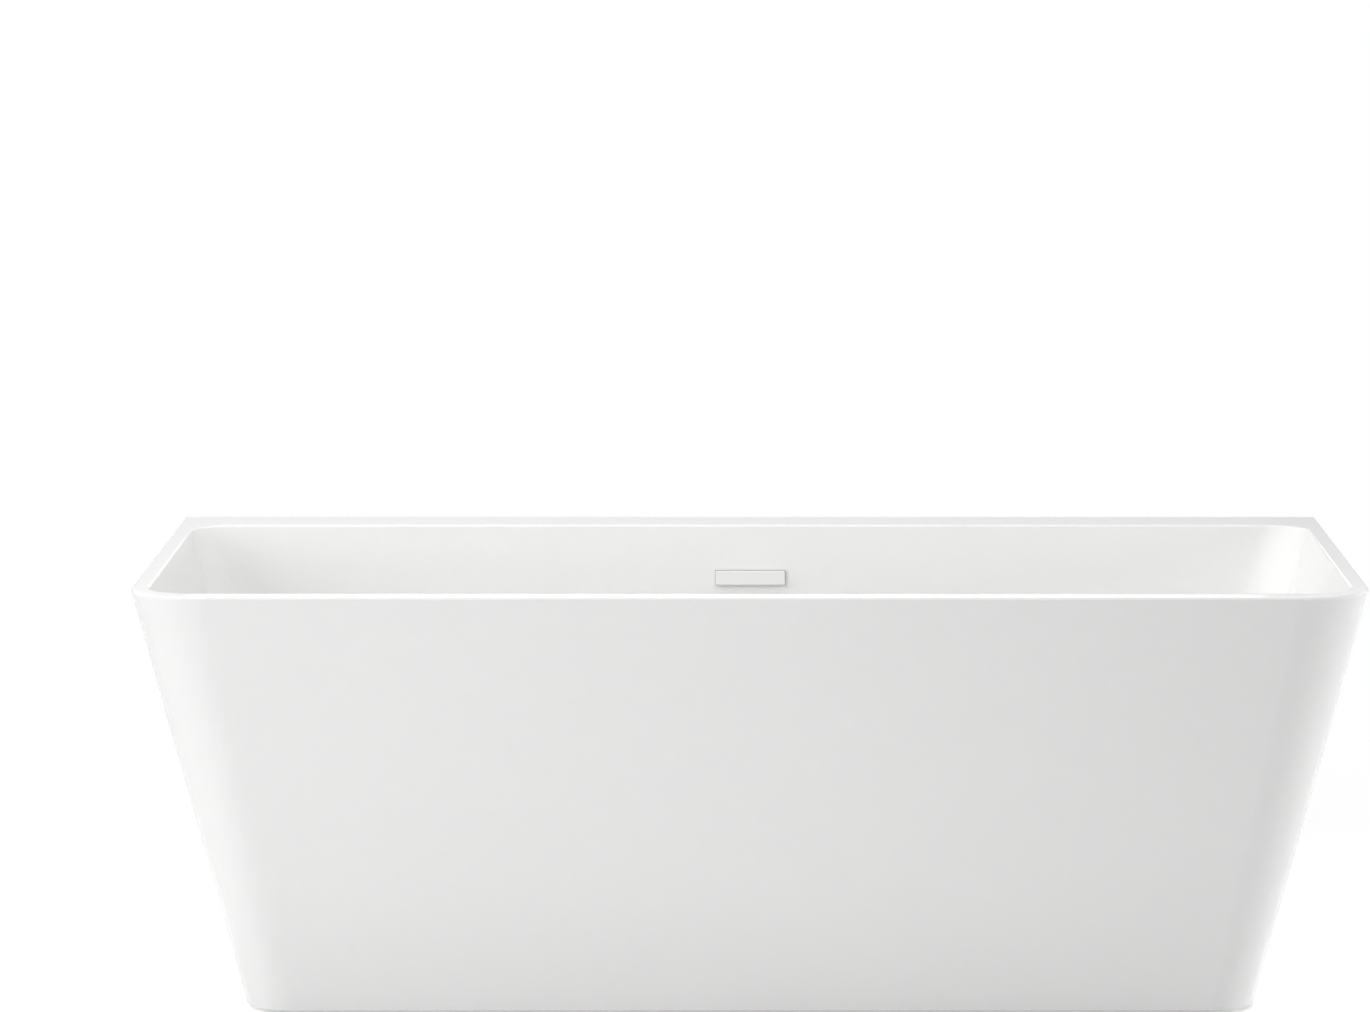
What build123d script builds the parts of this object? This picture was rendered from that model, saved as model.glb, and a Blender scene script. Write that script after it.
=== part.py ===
from build123d import *
import math
import os

# Freestanding back-to-wall bathtub, made as the pieces that it is put together from.
# Millimetres, +Z up, the front facing -Y and the wall side +Y. The origin is on the floor, below the
# middle of the rim's outline.

# Outer form: wider at the rim than at the floor, rounded at the front corners, square at the wall
length = 1700.0
depth = 800.0
height = 600.0
base_length = 1406.0
front_setback = 95.0
rim_corner = 105.0
base_corner = 65.0
floor_joint = 4.0
rim_edge_round = 4.5
base_edge_round = 4.0

# Well that holds the water
rim_side = 25.0
rim_front = 40.0
rim_back = 86.0
well_rise = 165.0
end_lean_extra = 0.5
front_lean_extra = 3.0
back_lean = 6.0
well_rim_corner = 60.0
well_floor_corner = 110.0
well_floor_round = 90.0
rim_inner_round = 4.0

# Sheet and board thicknesses
acrylic = 5.0
laminate = 3.0
board_thickness = 15.0
batten_thickness = 18.0

# Flanges of the apron and the rear lip of the rim
apron_wall = 5.0
apron_top_flange = 12.0
apron_base_flange = 25.0
apron_back_return = 60.0
lip_drop = 25.0
lip_joint = 2.5

# Base board and batten
board_margin = 12.0
board_end_margin = 40.0
board_corner = 30.0
batten_gap = 5.0
batten_back_gap = 1.0
batten_end_margin = 130.0

# Frame of square steel tube
tube = 25.0
tube_wall = 2.0
rail_inset = 3.0
cross_rail_inset = 50.0
cross_rail_overhang = 40.0
upright_back_inset = 12.0
end_cap_flange = 3.0
end_cap_plug = 14.0
end_cap_fit = 0.2
upright_plate = (64.0, 40.0, 3.0)
plate_screw_pitch = 48.0

# Wood screws
screw_radius = 2.5
screw_fit = 0.1
screw_head_radius = 5.0
screw_head_height = 3.0
screw_slot = (1.2, 6.5, 1.2)
screw_bite = 10.0
rail_screw_pitch = 260.0
cross_screw_pitch = 120.0

# Levelling feet
stud_radius = 6.0
stud_fit = 0.08
stud_headroom = 6.0
stud_hex = 17.0
stud_hex_height = 8.0
stud_hex_gap = 2.0
stud_chamfer = 1.0
nut_hex = 19.0
hex_sides = 6
weld_nut_height = 10.0
lock_nut_height = 7.0
pad_radius = 28.0
pad_plate = 5.0
pad_boss_radius = 11.0
pad_height = 14.0
pad_edge_round = 2.0
pad_socket_depth = 8.0
pin_radius = 4.5
pin_fit = 0.08
foot_inset = 30.0

# Waste set in the well floor
recess_depth = 3.0
recess_radius = 39.0
recess_rim_radius = 52.0
recess_boss_radius = 56.0
recess_boss_gap = 0.5
waste_rail_gap = 24.0
waste_grip_radius = 38.0
waste_grip_height = 6.0
waste_flange_radius = 35.0
waste_flange_thickness = 2.0
waste_flange_round = 1.2
waste_throat = 22.0
waste_tail_radius = 25.0
waste_tail_length = 38.0
waste_tail_fit = 0.3
waste_hole_gap = 1.0
upper_gasket_thickness = 1.0
lower_gasket_thickness = 3.0
board_hole_radius = 44.0
spider_height = 5.0
spider_depth = 20.0
spider_arm = 3.5
spider_bite = 0.5
hub_radius = 10.5

# Click plug
plug_radius = 31.0
plug_thickness = 4.0
plug_dome = 1.5
plug_boss_radius = 17.0
plug_boss_height = 6.0
plug_fit = 0.1
seal_radius = 28.0
seal_thickness = 1.5
plug_travel = 9.0
stem_radius = 4.0
stem_fit = 0.06
stem_grip = 7.0
click_radius = 8.0
click_wall = 1.5
click_cap = 4.0
click_collar = 2.0
click_rim = 1.5
click_headroom = 9.5
shoulder_radius = 5.8
shoulder_height = 2.0
spring_length = 10.0
spring_radius = 5.0
spring_wire = 0.45
spring_turns = 4.0
spring_gap = 0.1

# Waste body and its side port
waste_body_radius = 30.0
waste_chamber_radius = 22.0
waste_floor_gap = 1.0
waste_floor = 3.0
waste_spigot_radius = 24.0
waste_spigot_bore = 19.0
waste_spigot_length = 14.0
port_length = 22.0

# Overflow hose and its joints
hose_radius = 14.0
hose_bore = 11.0
hose_rail_gap = 5.0
hose_bend = 170.0
hose_back_gap = 60.0
spigot_radius = 15.0
hose_nut_radius = 19.0
hose_nut_length = 24.0
hose_nut_lip = 4.0
hose_nut_fit = 0.3
nut_groove = 2.0
nut_grooves = 12
hose_seal_thickness = 1.5

# Slot overflow in the rear wall of the well
overflow_drop = 78.0
cover_size = (103.5, 21.0)
cover_proud = 9.0
cover_wall = 2.5
cover_round = 1.2
cover_peg_radius = 2.5
cover_peg_pitch = 88.0
slot_size = (86.0, 12.0)
slot_shift = -1.0
insert_fit = 0.75
insert_flange = (96.0, 15.0)
insert_flange_thickness = 1.5
insert_length = 22.0
insert_duct = (58.0, 7.5)
insert_screw_pitch = 72.0
overflow_gasket_size = (106.0, 34.0)
overflow_gasket_thickness = 2.0
overflow_flange_thickness = 4.0
overflow_box_size = (98.0, 30.0)
overflow_box_depth = 38.0
overflow_box_wall = 3.0
overflow_box_round = 3.0
overflow_spigot_length = 42.0
m4_radius = 2.0
m4_head_radius = 3.8
m4_head_height = 2.2
m4_fit = 0.2
m4_thread_fit = 0.05
m4_boss_gap = 0.5
m4_boss_width = 12.0
m4_boss_length = 14.0
m4_bite = 12.0

# Trap and outlet
trap_radius = 20.0
trap_bore = 17.5
trap_floor_gap = 7.0
trap_width = 75.0
trap_bend = 36.0
trap_outlet_bend = 25.0
trap_flange_radius = 23.5
trap_flange_thickness = 3.0
trap_seal_thickness = 2.0
trap_nut_radius = 30.0
trap_nut_length = 20.0
trap_nut_lip = 3.0
trap_nut_fit = 0.3
outlet_rail_gap = 7.0
outlet_wall_gap = 10.0
outlet_nut_rail_gap = 3.0
push_in_length = 50.0
push_in_mark = (1.0, 0.3)
cleaning_boss_radius = 11.0
cleaning_boss_reach = 28.0
cleaning_boss_wall = 2.5
cleaning_cap_face = 2.5
cleaning_cap_radius = 14.0
cleaning_cap_thickness = 8.0

# Heights and leans that follow from the above
side_overhang = (length - base_length) / 2
end_lean = math.degrees(math.atan(side_overhang / height)) + end_lean_extra
front_lean = math.degrees(math.atan(front_setback / height)) + front_lean_extra
rim_under = height - acrylic
well_floor = well_rise
well_depth = height - well_floor
well_under = well_floor - acrylic - laminate
board_under = well_under - board_thickness
rail_axis = board_under - tube / 2
rail_under = board_under - tube


def tan_of(lean):
    """Sideways run of a leaning wall for each millimetre of height."""
    return math.tan(math.radians(lean))


def lost_to_round(overhang):
    """How far rounding the rim's edge sets back a face that leans out by overhang over the height."""
    lean = math.degrees(math.atan(overhang / height))
    return rim_edge_round * (1 / tan_of((90 - lean) / 2) - 1)


rim_half = length / 2 + lost_to_round(side_overhang)
rim_face = depth / 2 + lost_to_round(front_setback)


def half_length_at(z):
    """Half of the outer form's length at a height, before its edges are rounded."""
    return base_length / 2 + (rim_half - base_length / 2) * z / height


def front_at(z):
    """Place of the outer form's front face at a height, before its edges are rounded."""
    return (depth / 2 - front_setback) * (z / height - 1) - rim_face * z / height


def corner_at(z):
    """Plan radius of the outer form's front corners at a height."""
    return base_corner + (rim_corner - base_corner) * z / height


def well_half_at(z):
    """Half of the well's length at a height."""
    return length / 2 - rim_side - (height - z) * tan_of(end_lean)


def well_front_at(z):
    """Place of the well's front wall at a height."""
    return -depth / 2 + rim_front + (height - z) * tan_of(front_lean)


def well_back_at(z):
    """Place of the well's rear wall at a height."""
    return depth / 2 - rim_back - (height - z) * tan_of(back_lean)


def round_run(lean, radius):
    """Stretch of the well floor that the rounding into a leaning wall takes up."""
    return radius / tan_of((90 + lean) / 2)


def outer_form(low, high, inset, back):
    """Solid of the outer form between two heights, drawn in by inset and closed at y = back."""
    with BuildPart() as form:
        for z in (low, high):
            half = half_length_at(z) - inset
            front = front_at(z) + inset
            with BuildSketch(Plane.XY.offset(z)) as outline:
                with BuildLine():
                    Polyline((-half, back), (-half, front), (half, front), (half, back), close=True)
                make_face()
                fillet(outline.vertices().group_by(Axis.Y)[0], corner_at(z) - inset)
        loft(ruled=True)
    return form.part


def well_form(grow, top):
    """Solid of the well up to a height, grown outwards by a wall thickness."""
    low = well_floor - grow
    with BuildPart() as form:
        for z in (low, top):
            half = well_half_at(z) + grow
            front = well_front_at(z) - grow
            back = well_back_at(z) + grow
            share = (height - z) / well_depth
            corner = well_rim_corner + (well_floor_corner - well_rim_corner) * share + grow
            with BuildSketch(Plane.XY.offset(z)) as outline:
                with BuildLine():
                    Polyline((-half, back), (-half, front), (half, front), (half, back), close=True)
                make_face()
                fillet(outline.vertices(), corner)
        loft(ruled=True)
        fillet(form.faces().sort_by(Axis.Z)[0].edges(), well_floor_round + grow)
    return form.part


# Places that follow from the well's flat underside
wall = acrylic + laminate
flat_round = well_floor_round + wall
flat_half = well_half_at(well_under) + wall - round_run(end_lean, flat_round)
flat_front = well_front_at(well_under) - wall + round_run(front_lean, flat_round)
flat_back = well_back_at(well_under) + wall - round_run(back_lean, flat_round)
board_half = flat_half - board_end_margin
board_front = flat_front + board_margin
board_back = flat_back - board_margin
front_rail_y = board_front + tube / 2 + rail_inset
rear_rail_y = board_back - tube / 2 - rail_inset
cross_rail_x = board_half - tube / 2 - cross_rail_inset
waste_y = rear_rail_y - tube / 2 - waste_rail_gap - waste_grip_radius
batten_front = well_back_at(rim_under) + wall + batten_gap
batten_back = depth / 2 - acrylic - batten_back_gap
batten_under = rim_under - batten_thickness
batten_half = length / 2 - batten_end_margin
upright_y = batten_back - tube / 2 - upright_back_inset
cross_rail_front = front_rail_y - tube / 2 - cross_rail_overhang
cross_rail_back = upright_y + tube / 2
upright_top = batten_under - upright_plate[2]

os.makedirs("parts", exist_ok=True)

# ---------------------------------------------------------------------------------- acrylic well
waste_under = well_floor - acrylic - recess_depth
slot_plane = Plane(
    origin=(0, well_back_at(height - overflow_drop), height - overflow_drop),
    x_dir=(1, 0, 0),
    z_dir=(0, -math.cos(math.radians(back_lean)), math.sin(math.radians(back_lean))),
)
wall_normal = wall * math.cos(math.radians(back_lean))
waste_hole_radius = waste_tail_radius + waste_hole_gap

with BuildPart() as basin_shell:
    add(outer_form(rim_under - lip_drop, height, 0, depth / 2))
    rim_edges = basin_shell.edges().group_by(Axis.Z)[-1].sort_by(Axis.Y)[:-1]
    fillet(rim_edges, rim_edge_round)
    split(bisect_by=Plane.XY.offset(rim_under), keep=Keep.TOP)
    add(well_form(acrylic, rim_under))
    lip_half = half_length_at(rim_under - lip_drop) - apron_back_return - lip_joint
    with Locations((0, depth / 2, rim_under)):
        Box(2 * lip_half, acrylic, lip_drop, align=(Align.CENTER, Align.MAX, Align.MAX))
    with Locations((0, waste_y, well_floor - acrylic)):
        Cylinder(recess_boss_radius, recess_depth, align=(Align.CENTER, Align.CENTER, Align.MAX))
    add(well_form(0, height), mode=Mode.SUBTRACT)
    fillet(basin_shell.faces().sort_by(Axis.Z)[-1].inner_wires()[0].edges(), rim_inner_round)
    with Locations((0, waste_y, well_floor)):
        Cone(
            recess_radius,
            recess_rim_radius,
            recess_depth,
            align=(Align.CENTER, Align.CENTER, Align.MAX),
            mode=Mode.SUBTRACT,
        )
        Cylinder(
            waste_hole_radius,
            2 * (recess_depth + acrylic),
            mode=Mode.SUBTRACT,
        )
    with BuildSketch(slot_plane):
        with Locations((0, slot_shift)):
            Rectangle(*slot_size)
    extrude(amount=wall, both=True, mode=Mode.SUBTRACT)
basin_shell.part.label = "basin_shell"
export_step(basin_shell.part, "parts/basin_shell.step")

# Glass-fibre skin sprayed on the back of the well
with BuildPart() as basin_laminate:
    add(well_form(wall, rim_under))
    add(well_form(acrylic, rim_under), mode=Mode.SUBTRACT)
    with Locations((0, waste_y, well_floor)):
        boss_hole = recess_boss_radius + recess_boss_gap
        Cylinder(boss_hole, 2 * (wall + acrylic), mode=Mode.SUBTRACT)
    with BuildSketch(slot_plane):
        with Locations((0, slot_shift)):
            Rectangle(*slot_size)
    extrude(amount=-2 * wall, mode=Mode.SUBTRACT)
basin_laminate.part.label = "basin_laminate"
export_step(basin_laminate.part, "parts/basin_laminate.step")

# ---------------------------------------------------------------------------------- outer apron
apron_inner_back = depth / 2 - apron_wall
apron_floor_top = floor_joint + apron_wall
apron_ceiling = rim_under - apron_wall
opening_base = half_length_at(0) - apron_back_return
opening_top = half_length_at(height) - apron_back_return

# Acrylic front and sides in one piece, bonded under the rim and open towards the wall
with BuildPart() as outer_apron:
    add(outer_form(floor_joint, rim_under, 0, depth / 2))
    base_edges = outer_apron.edges().group_by(Axis.Z)[0].sort_by(Axis.Y)[:-1]
    fillet(base_edges, base_edge_round)
    inside = outer_form(apron_floor_top, apron_ceiling, apron_wall, apron_inner_back)
    add(inside, mode=Mode.SUBTRACT)
    below = outer_form(floor_joint, apron_floor_top, apron_base_flange, apron_inner_back)
    add(below, mode=Mode.SUBTRACT)
    above = outer_form(apron_ceiling, rim_under, apron_top_flange, apron_inner_back)
    add(above, mode=Mode.SUBTRACT)
    with BuildSketch(Plane.XZ.offset(-depth / 2)):
        with BuildLine():
            Polyline(
                (-opening_base, 0),
                (opening_base, 0),
                (opening_top, height),
                (-opening_top, height),
                close=True,
            )
        make_face()
    extrude(amount=2 * apron_wall, mode=Mode.SUBTRACT)
outer_apron.part.label = "outer_apron"
export_step(outer_apron.part, "parts/outer_apron.step")

# --------------------------------------------------------------------------- board and rim batten
rail_screws = [
    (side * rail_screw_pitch, y) for side in (-1.5, -0.5, 0.5, 1.5) for y in (front_rail_y, rear_rail_y)
]
cross_screws = [
    (side * cross_rail_x, end * cross_screw_pitch / 2) for side in (-1, 1) for end in (-1, 1)
]
plate_screws = [
    (side * cross_rail_x + end * plate_screw_pitch / 2, upright_y) for side in (-1, 1) for end in (-1, 1)
]
upward = (Align.CENTER, Align.CENTER, Align.MIN)
downward = (Align.CENTER, Align.CENTER, Align.MAX)


def at_height(places, z):
    """Plan places lifted to a height."""
    return [(x, y, z) for x, y in places]


# Board bonded into the glass fibre under the well floor
with BuildPart() as base_board:
    with BuildSketch(Plane.XY.offset(board_under)):
        with Locations((0, (board_front + board_back) / 2)):
            RectangleRounded(2 * board_half, board_back - board_front, board_corner)
        with Locations((0, waste_y)):
            Circle(board_hole_radius, mode=Mode.SUBTRACT)
    extrude(amount=board_thickness)
    with Locations(at_height(rail_screws + cross_screws, board_under)):
        Cylinder(screw_radius + screw_fit, screw_bite, align=upward, mode=Mode.SUBTRACT)
base_board.part.label = "base_board"
export_step(base_board.part, "parts/base_board.step")

# Timber under the wide rear rim
with BuildPart() as rim_batten:
    with BuildSketch(Plane.XY.offset(batten_under)):
        with Locations((0, (batten_front + batten_back) / 2)):
            Rectangle(2 * batten_half, batten_back - batten_front)
    extrude(amount=batten_thickness)
    with Locations(at_height(plate_screws, batten_under)):
        Cylinder(screw_radius + screw_fit, screw_bite, align=upward, mode=Mode.SUBTRACT)
rim_batten.part.label = "rim_batten"
export_step(rim_batten.part, "parts/rim_batten.step")

# ------------------------------------------------------------------------------------ steel frame
rail_half = cross_rail_x - tube / 2
front_foot_y = cross_rail_front + foot_inset
rear_foot_y = cross_rail_back - foot_inset
foot_places = {
    "front_left": (-cross_rail_x, front_foot_y),
    "front_right": (cross_rail_x, front_foot_y),
    "front_centre": (0, front_rail_y),
    "rear_left": (-cross_rail_x, rear_foot_y),
    "rear_right": (cross_rail_x, rear_foot_y),
}
all_feet = list(foot_places.values())


def square_tube(start, along, run):
    """Square steel tube from the middle of its end."""
    with BuildPart() as bar:
        with BuildSketch(Plane(origin=start, z_dir=along)):
            Rectangle(tube, tube)
            Rectangle(tube - 2 * tube_wall, tube - 2 * tube_wall, mode=Mode.SUBTRACT)
        extrude(amount=run)
    return bar.part


# Long rails between the cross rails, screwed up into the board
long_rails = {"frame_front_rail": front_rail_y, "frame_rear_rail": rear_rail_y}
for name, rail_y in long_rails.items():
    with BuildPart() as long_rail:
        add(square_tube((-rail_half, rail_y, rail_axis), (1, 0, 0), 2 * rail_half))
        with Locations(at_height([place for place in rail_screws if place[1] == rail_y], rail_under)):
            Cylinder(screw_radius + screw_fit, tube, align=upward, mode=Mode.SUBTRACT)
        for foot in [place for place in all_feet if place[1] == rail_y]:
            with Locations((*foot, rail_under)):
                Cylinder(stud_radius + stud_fit, tube / 2, align=upward, mode=Mode.SUBTRACT)
    long_rail.part.label = name
    export_step(long_rail.part, f"parts/{name}.step")

# Cross rails, which reach back to the uprights and stand on the feet
for name, side in {"left": -1, "right": 1}.items():
    rail_x = side * cross_rail_x
    with BuildPart() as cross_rail:
        run = cross_rail_back - cross_rail_front
        add(square_tube((rail_x, cross_rail_front, rail_axis), (0, 1, 0), run))
        with Locations(at_height([place for place in cross_screws if place[0] == rail_x], rail_under)):
            Cylinder(screw_radius + screw_fit, tube, align=upward, mode=Mode.SUBTRACT)
        with Locations(at_height([place for place in all_feet if place[0] == rail_x], rail_under)):
            Cylinder(stud_radius + stud_fit, tube / 2, align=upward, mode=Mode.SUBTRACT)
    cross_rail.part.label = f"frame_cross_rail_{name}"
    export_step(cross_rail.part, f"parts/frame_cross_rail_{name}.step")

# Uprights welded on the cross rails, under the batten
with BuildPart() as frame_uprights:
    for side in (-1, 1):
        add(square_tube((side * cross_rail_x, upright_y, board_under), (0, 0, 1), upright_top - board_under))
frame_uprights.part.label = "frame_uprights"
export_step(frame_uprights.part, "parts/frame_uprights.step")

# Plates welded on the uprights
with BuildPart() as upright_plates:
    with Locations([(side * cross_rail_x, upright_y, upright_top) for side in (-1, 1)]):
        Box(*upright_plate, align=upward)
    with Locations(at_height(plate_screws, upright_top)):
        Cylinder(screw_radius + screw_fit, upright_plate[2], align=upward, mode=Mode.SUBTRACT)
upright_plates.part.label = "upright_plates"
export_step(upright_plates.part, "parts/upright_plates.step")

# Plastic caps in the open ends of the cross rails
with BuildPart() as rail_end_caps:
    for side in (-1, 1):
        for end_y, outward in ((cross_rail_front, -1), (cross_rail_back, 1)):
            with BuildSketch(Plane(origin=(side * cross_rail_x, end_y, rail_axis), z_dir=(0, outward, 0))):
                RectangleRounded(tube, tube, tube_wall)
            extrude(amount=end_cap_flange)
            with BuildSketch(Plane(origin=(side * cross_rail_x, end_y, rail_axis), z_dir=(0, -outward, 0))):
                Rectangle(tube - 2 * (tube_wall + end_cap_fit), tube - 2 * (tube_wall + end_cap_fit))
            extrude(amount=end_cap_plug)
rail_end_caps.part.label = "rail_end_caps"
export_step(rail_end_caps.part, "parts/rail_end_caps.step")


def wood_screws(places, head_under, length_above_head):
    """Slotted screws driven upwards, each a head with its shank."""
    with BuildPart() as screws:
        with Locations(at_height(places, head_under)):
            Cylinder(screw_head_radius, screw_head_height, align=upward)
            Box(*screw_slot, align=upward, mode=Mode.SUBTRACT)
        with Locations(at_height(places, head_under + screw_head_height)):
            Cylinder(screw_radius, length_above_head, align=upward)
    return screws.part


# Screws through the rails into the board
with BuildPart() as board_screws:
    add(wood_screws(rail_screws + cross_screws, rail_under - screw_head_height, tube + screw_bite))
board_screws.part.label = "board_screws"
export_step(board_screws.part, "parts/board_screws.step")

# Screws through the plates into the batten
with BuildPart() as batten_screws:
    add(wood_screws(plate_screws, upright_top - screw_head_height, upright_plate[2] + screw_bite))
batten_screws.part.label = "batten_screws"
export_step(batten_screws.part, "parts/batten_screws.step")

# ---------------------------------------------------------------------------------- levelling feet
weld_nut_under = rail_under - weld_nut_height
lock_nut_under = weld_nut_under - lock_nut_height
stud_top = board_under - tube_wall - stud_headroom
socket_floor = pad_height - pad_socket_depth
hex_under = pad_height + stud_hex_gap


def foot_nuts(under, nut_height):
    """Hexagon nuts of one height round every foot's stud."""
    with BuildPart() as nuts:
        with BuildSketch(Plane.XY.offset(under)):
            with Locations(all_feet):
                RegularPolygon(nut_hex / 2, hex_sides, major_radius=False)
                Circle(stud_radius + stud_fit, mode=Mode.SUBTRACT)
        extrude(amount=nut_height)
    return nuts.part


# Nuts welded under the rails, and the lock nuts tightened against them
with BuildPart() as foot_weld_nuts:
    add(foot_nuts(weld_nut_under, weld_nut_height))
foot_weld_nuts.part.label = "foot_weld_nuts"
export_step(foot_weld_nuts.part, "parts/foot_weld_nuts.step")

with BuildPart() as foot_lock_nuts:
    add(foot_nuts(lock_nut_under, lock_nut_height))
foot_lock_nuts.part.label = "foot_lock_nuts"
export_step(foot_lock_nuts.part, "parts/foot_lock_nuts.step")

for name, (foot_x, foot_y) in foot_places.items():
    # Pad that stays still on the floor, with a socket for the stud's pin
    with BuildPart() as foot_pad:
        with Locations((foot_x, foot_y, 0)):
            Cylinder(pad_radius, pad_plate, align=upward)
            Cylinder(pad_boss_radius, pad_height, align=upward)
        fillet(foot_pad.edges().filter_by(GeomType.CIRCLE).group_by(Axis.Z)[1], pad_edge_round)
        with Locations((foot_x, foot_y, socket_floor)):
            Cylinder(pin_radius + pin_fit, pad_socket_depth, align=upward, mode=Mode.SUBTRACT)
    foot_pad.part.label = f"foot_pad_{name}"
    export_step(foot_pad.part, f"parts/foot_pad_{name}.step")

    # Stud with its pin, its spanner hexagon and its threaded length
    with BuildPart() as foot_stud:
        with Locations((foot_x, foot_y, socket_floor)):
            Cylinder(pin_radius, hex_under - socket_floor, align=upward)
        with BuildSketch(Plane.XY.offset(hex_under)):
            with Locations((foot_x, foot_y)):
                RegularPolygon(stud_hex / 2, hex_sides, major_radius=False)
        extrude(amount=stud_hex_height)
        with Locations((foot_x, foot_y, hex_under + stud_hex_height)):
            Cylinder(stud_radius, stud_top - hex_under - stud_hex_height, align=upward)
        chamfer(foot_stud.edges().sort_by(Axis.Z)[-1], stud_chamfer)
    foot_stud.part.label = f"foot_stud_{name}"
    export_step(foot_stud.part, f"parts/foot_stud_{name}.step")

# ------------------------------------------------------------------------------------------ waste
recess_floor = well_floor - recess_depth
flange_under = recess_floor + upper_gasket_thickness
flange_top = flange_under + waste_flange_thickness
hub_top = flange_top - spider_depth
click_chamber = spring_length + shoulder_height + plug_travel + click_headroom
click_length = click_wall + click_chamber + click_cap
spider_reach = waste_throat + spider_bite
click_top = hub_top + click_collar
click_floor = click_top - click_length + click_wall
drain = (0, waste_y)
drain_plane = Plane(origin=(0, waste_y, 0), x_dir=(1, 0, 0), z_dir=(0, -1, 0))
drain_axis = Axis((0, waste_y, 0), (0, 0, 1))

# Chromed flange that lies in the recess, with its threaded tail and the hub for the click housing
with BuildPart() as waste_flange:
    with Locations((*drain, flange_under)):
        Cylinder(waste_flange_radius, waste_flange_thickness, align=upward)
        Cylinder(waste_tail_radius, waste_tail_length, align=downward)
    fillet(waste_flange.edges().group_by(Axis.Z)[-1], waste_flange_round)
    with Locations((*drain, flange_top)):
        bore_depth = waste_flange_thickness + waste_tail_length
        Cylinder(waste_throat, bore_depth, align=downward, mode=Mode.SUBTRACT)
    with Locations((*drain, hub_top)):
        Cylinder(hub_radius, spider_height, align=downward)
        Box(2 * spider_reach, spider_arm, spider_height, align=downward)
        Box(spider_arm, 2 * spider_reach, spider_height, align=downward)
        Cylinder(click_radius + plug_fit, spider_height, align=downward, mode=Mode.SUBTRACT)
waste_flange.part.label = "waste_flange"
export_step(waste_flange.part, "parts/waste_flange.step")


def washer(under, outer, inner, thickness):
    """Flat ring round the drain's axis."""
    with BuildPart() as ring:
        with BuildSketch(Plane.XY.offset(under)):
            with Locations(drain):
                Circle(outer)
                Circle(inner, mode=Mode.SUBTRACT)
        extrude(amount=thickness)
    return ring.part


# Rubber rings that clamp the well floor between the flange and the body
tail_clearance = waste_tail_radius + waste_tail_fit
with BuildPart() as waste_upper_gasket:
    add(washer(recess_floor, waste_flange_radius, tail_clearance, upper_gasket_thickness))
waste_upper_gasket.part.label = "waste_upper_gasket"
export_step(waste_upper_gasket.part, "parts/waste_upper_gasket.step")

body_top = waste_under - lower_gasket_thickness
with BuildPart() as waste_lower_gasket:
    add(washer(body_top, waste_grip_radius, tail_clearance, lower_gasket_thickness))
waste_lower_gasket.part.label = "waste_lower_gasket"
export_step(waste_lower_gasket.part, "parts/waste_lower_gasket.step")

# Housing of the click action, screwed into the hub
with BuildPart() as click_housing:
    with Locations((*drain, click_top)):
        Cylinder(click_radius, click_length, align=downward)
        Cylinder(click_radius + click_rim, click_collar, align=downward)
        Cylinder(stem_radius + stem_fit, click_length - click_wall, align=downward, mode=Mode.SUBTRACT)
    with Locations((*drain, click_floor)):
        Cylinder(click_radius - click_wall, click_chamber, align=upward, mode=Mode.SUBTRACT)
click_housing.part.label = "click_housing"
export_step(click_housing.part, "parts/click_housing.step")

# Plug: a domed cap with a boss, its seal and its stem, which rise and drop together
plug_under = flange_top + seal_thickness
boss_under = plug_under - plug_boss_height
plug_edge = plug_under + plug_thickness - plug_dome
dome_radius = (plug_radius**2 + plug_dome**2) / (2 * plug_dome)
with BuildPart() as plug_cap:
    with BuildSketch(drain_plane):
        with BuildLine():
            Polyline(
                (0, plug_edge + plug_dome),
                (0, boss_under),
                (plug_boss_radius, boss_under),
                (plug_boss_radius, plug_under),
                (plug_radius, plug_under),
                (plug_radius, plug_edge),
            )
            RadiusArc((plug_radius, plug_edge), (0, plug_edge + plug_dome), -dome_radius)
        make_face()
    revolve(axis=drain_axis)
    with Locations((*drain, boss_under)):
        Cylinder(stem_radius + stem_fit, stem_grip, align=upward, mode=Mode.SUBTRACT)
plug_cap.part.label = "plug_cap"
export_step(plug_cap.part, "parts/plug_cap.step")

with BuildPart() as plug_seal:
    add(washer(flange_top, seal_radius, plug_boss_radius + plug_fit, seal_thickness))
plug_seal.part.label = "plug_seal"
export_step(plug_seal.part, "parts/plug_seal.step")

shoulder_under = click_floor + spring_length
with BuildPart() as plug_stem:
    with Locations((*drain, shoulder_under)):
        Cylinder(shoulder_radius, shoulder_height, align=upward)
        Cylinder(stem_radius, boss_under + stem_grip - shoulder_under, align=upward)
plug_stem.part.label = "plug_stem"
export_step(plug_stem.part, "parts/plug_stem.step")

# Spring under the stem's shoulder, pressed together while the plug is down
coil_inset = spring_wire + spring_gap
with BuildPart() as click_spring:
    with BuildLine() as coil:
        coil_height = spring_length - 2 * coil_inset
        coil_foot = (*drain, click_floor + coil_inset)
        Helix(coil_height / spring_turns, coil_height, spring_radius, center=coil_foot)
    with BuildSketch(Plane(origin=coil.line @ 0, z_dir=coil.line % 0)):
        Circle(spring_wire)
    sweep()
click_spring.part.label = "click_spring"
export_step(click_spring.part, "parts/click_spring.step")

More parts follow.
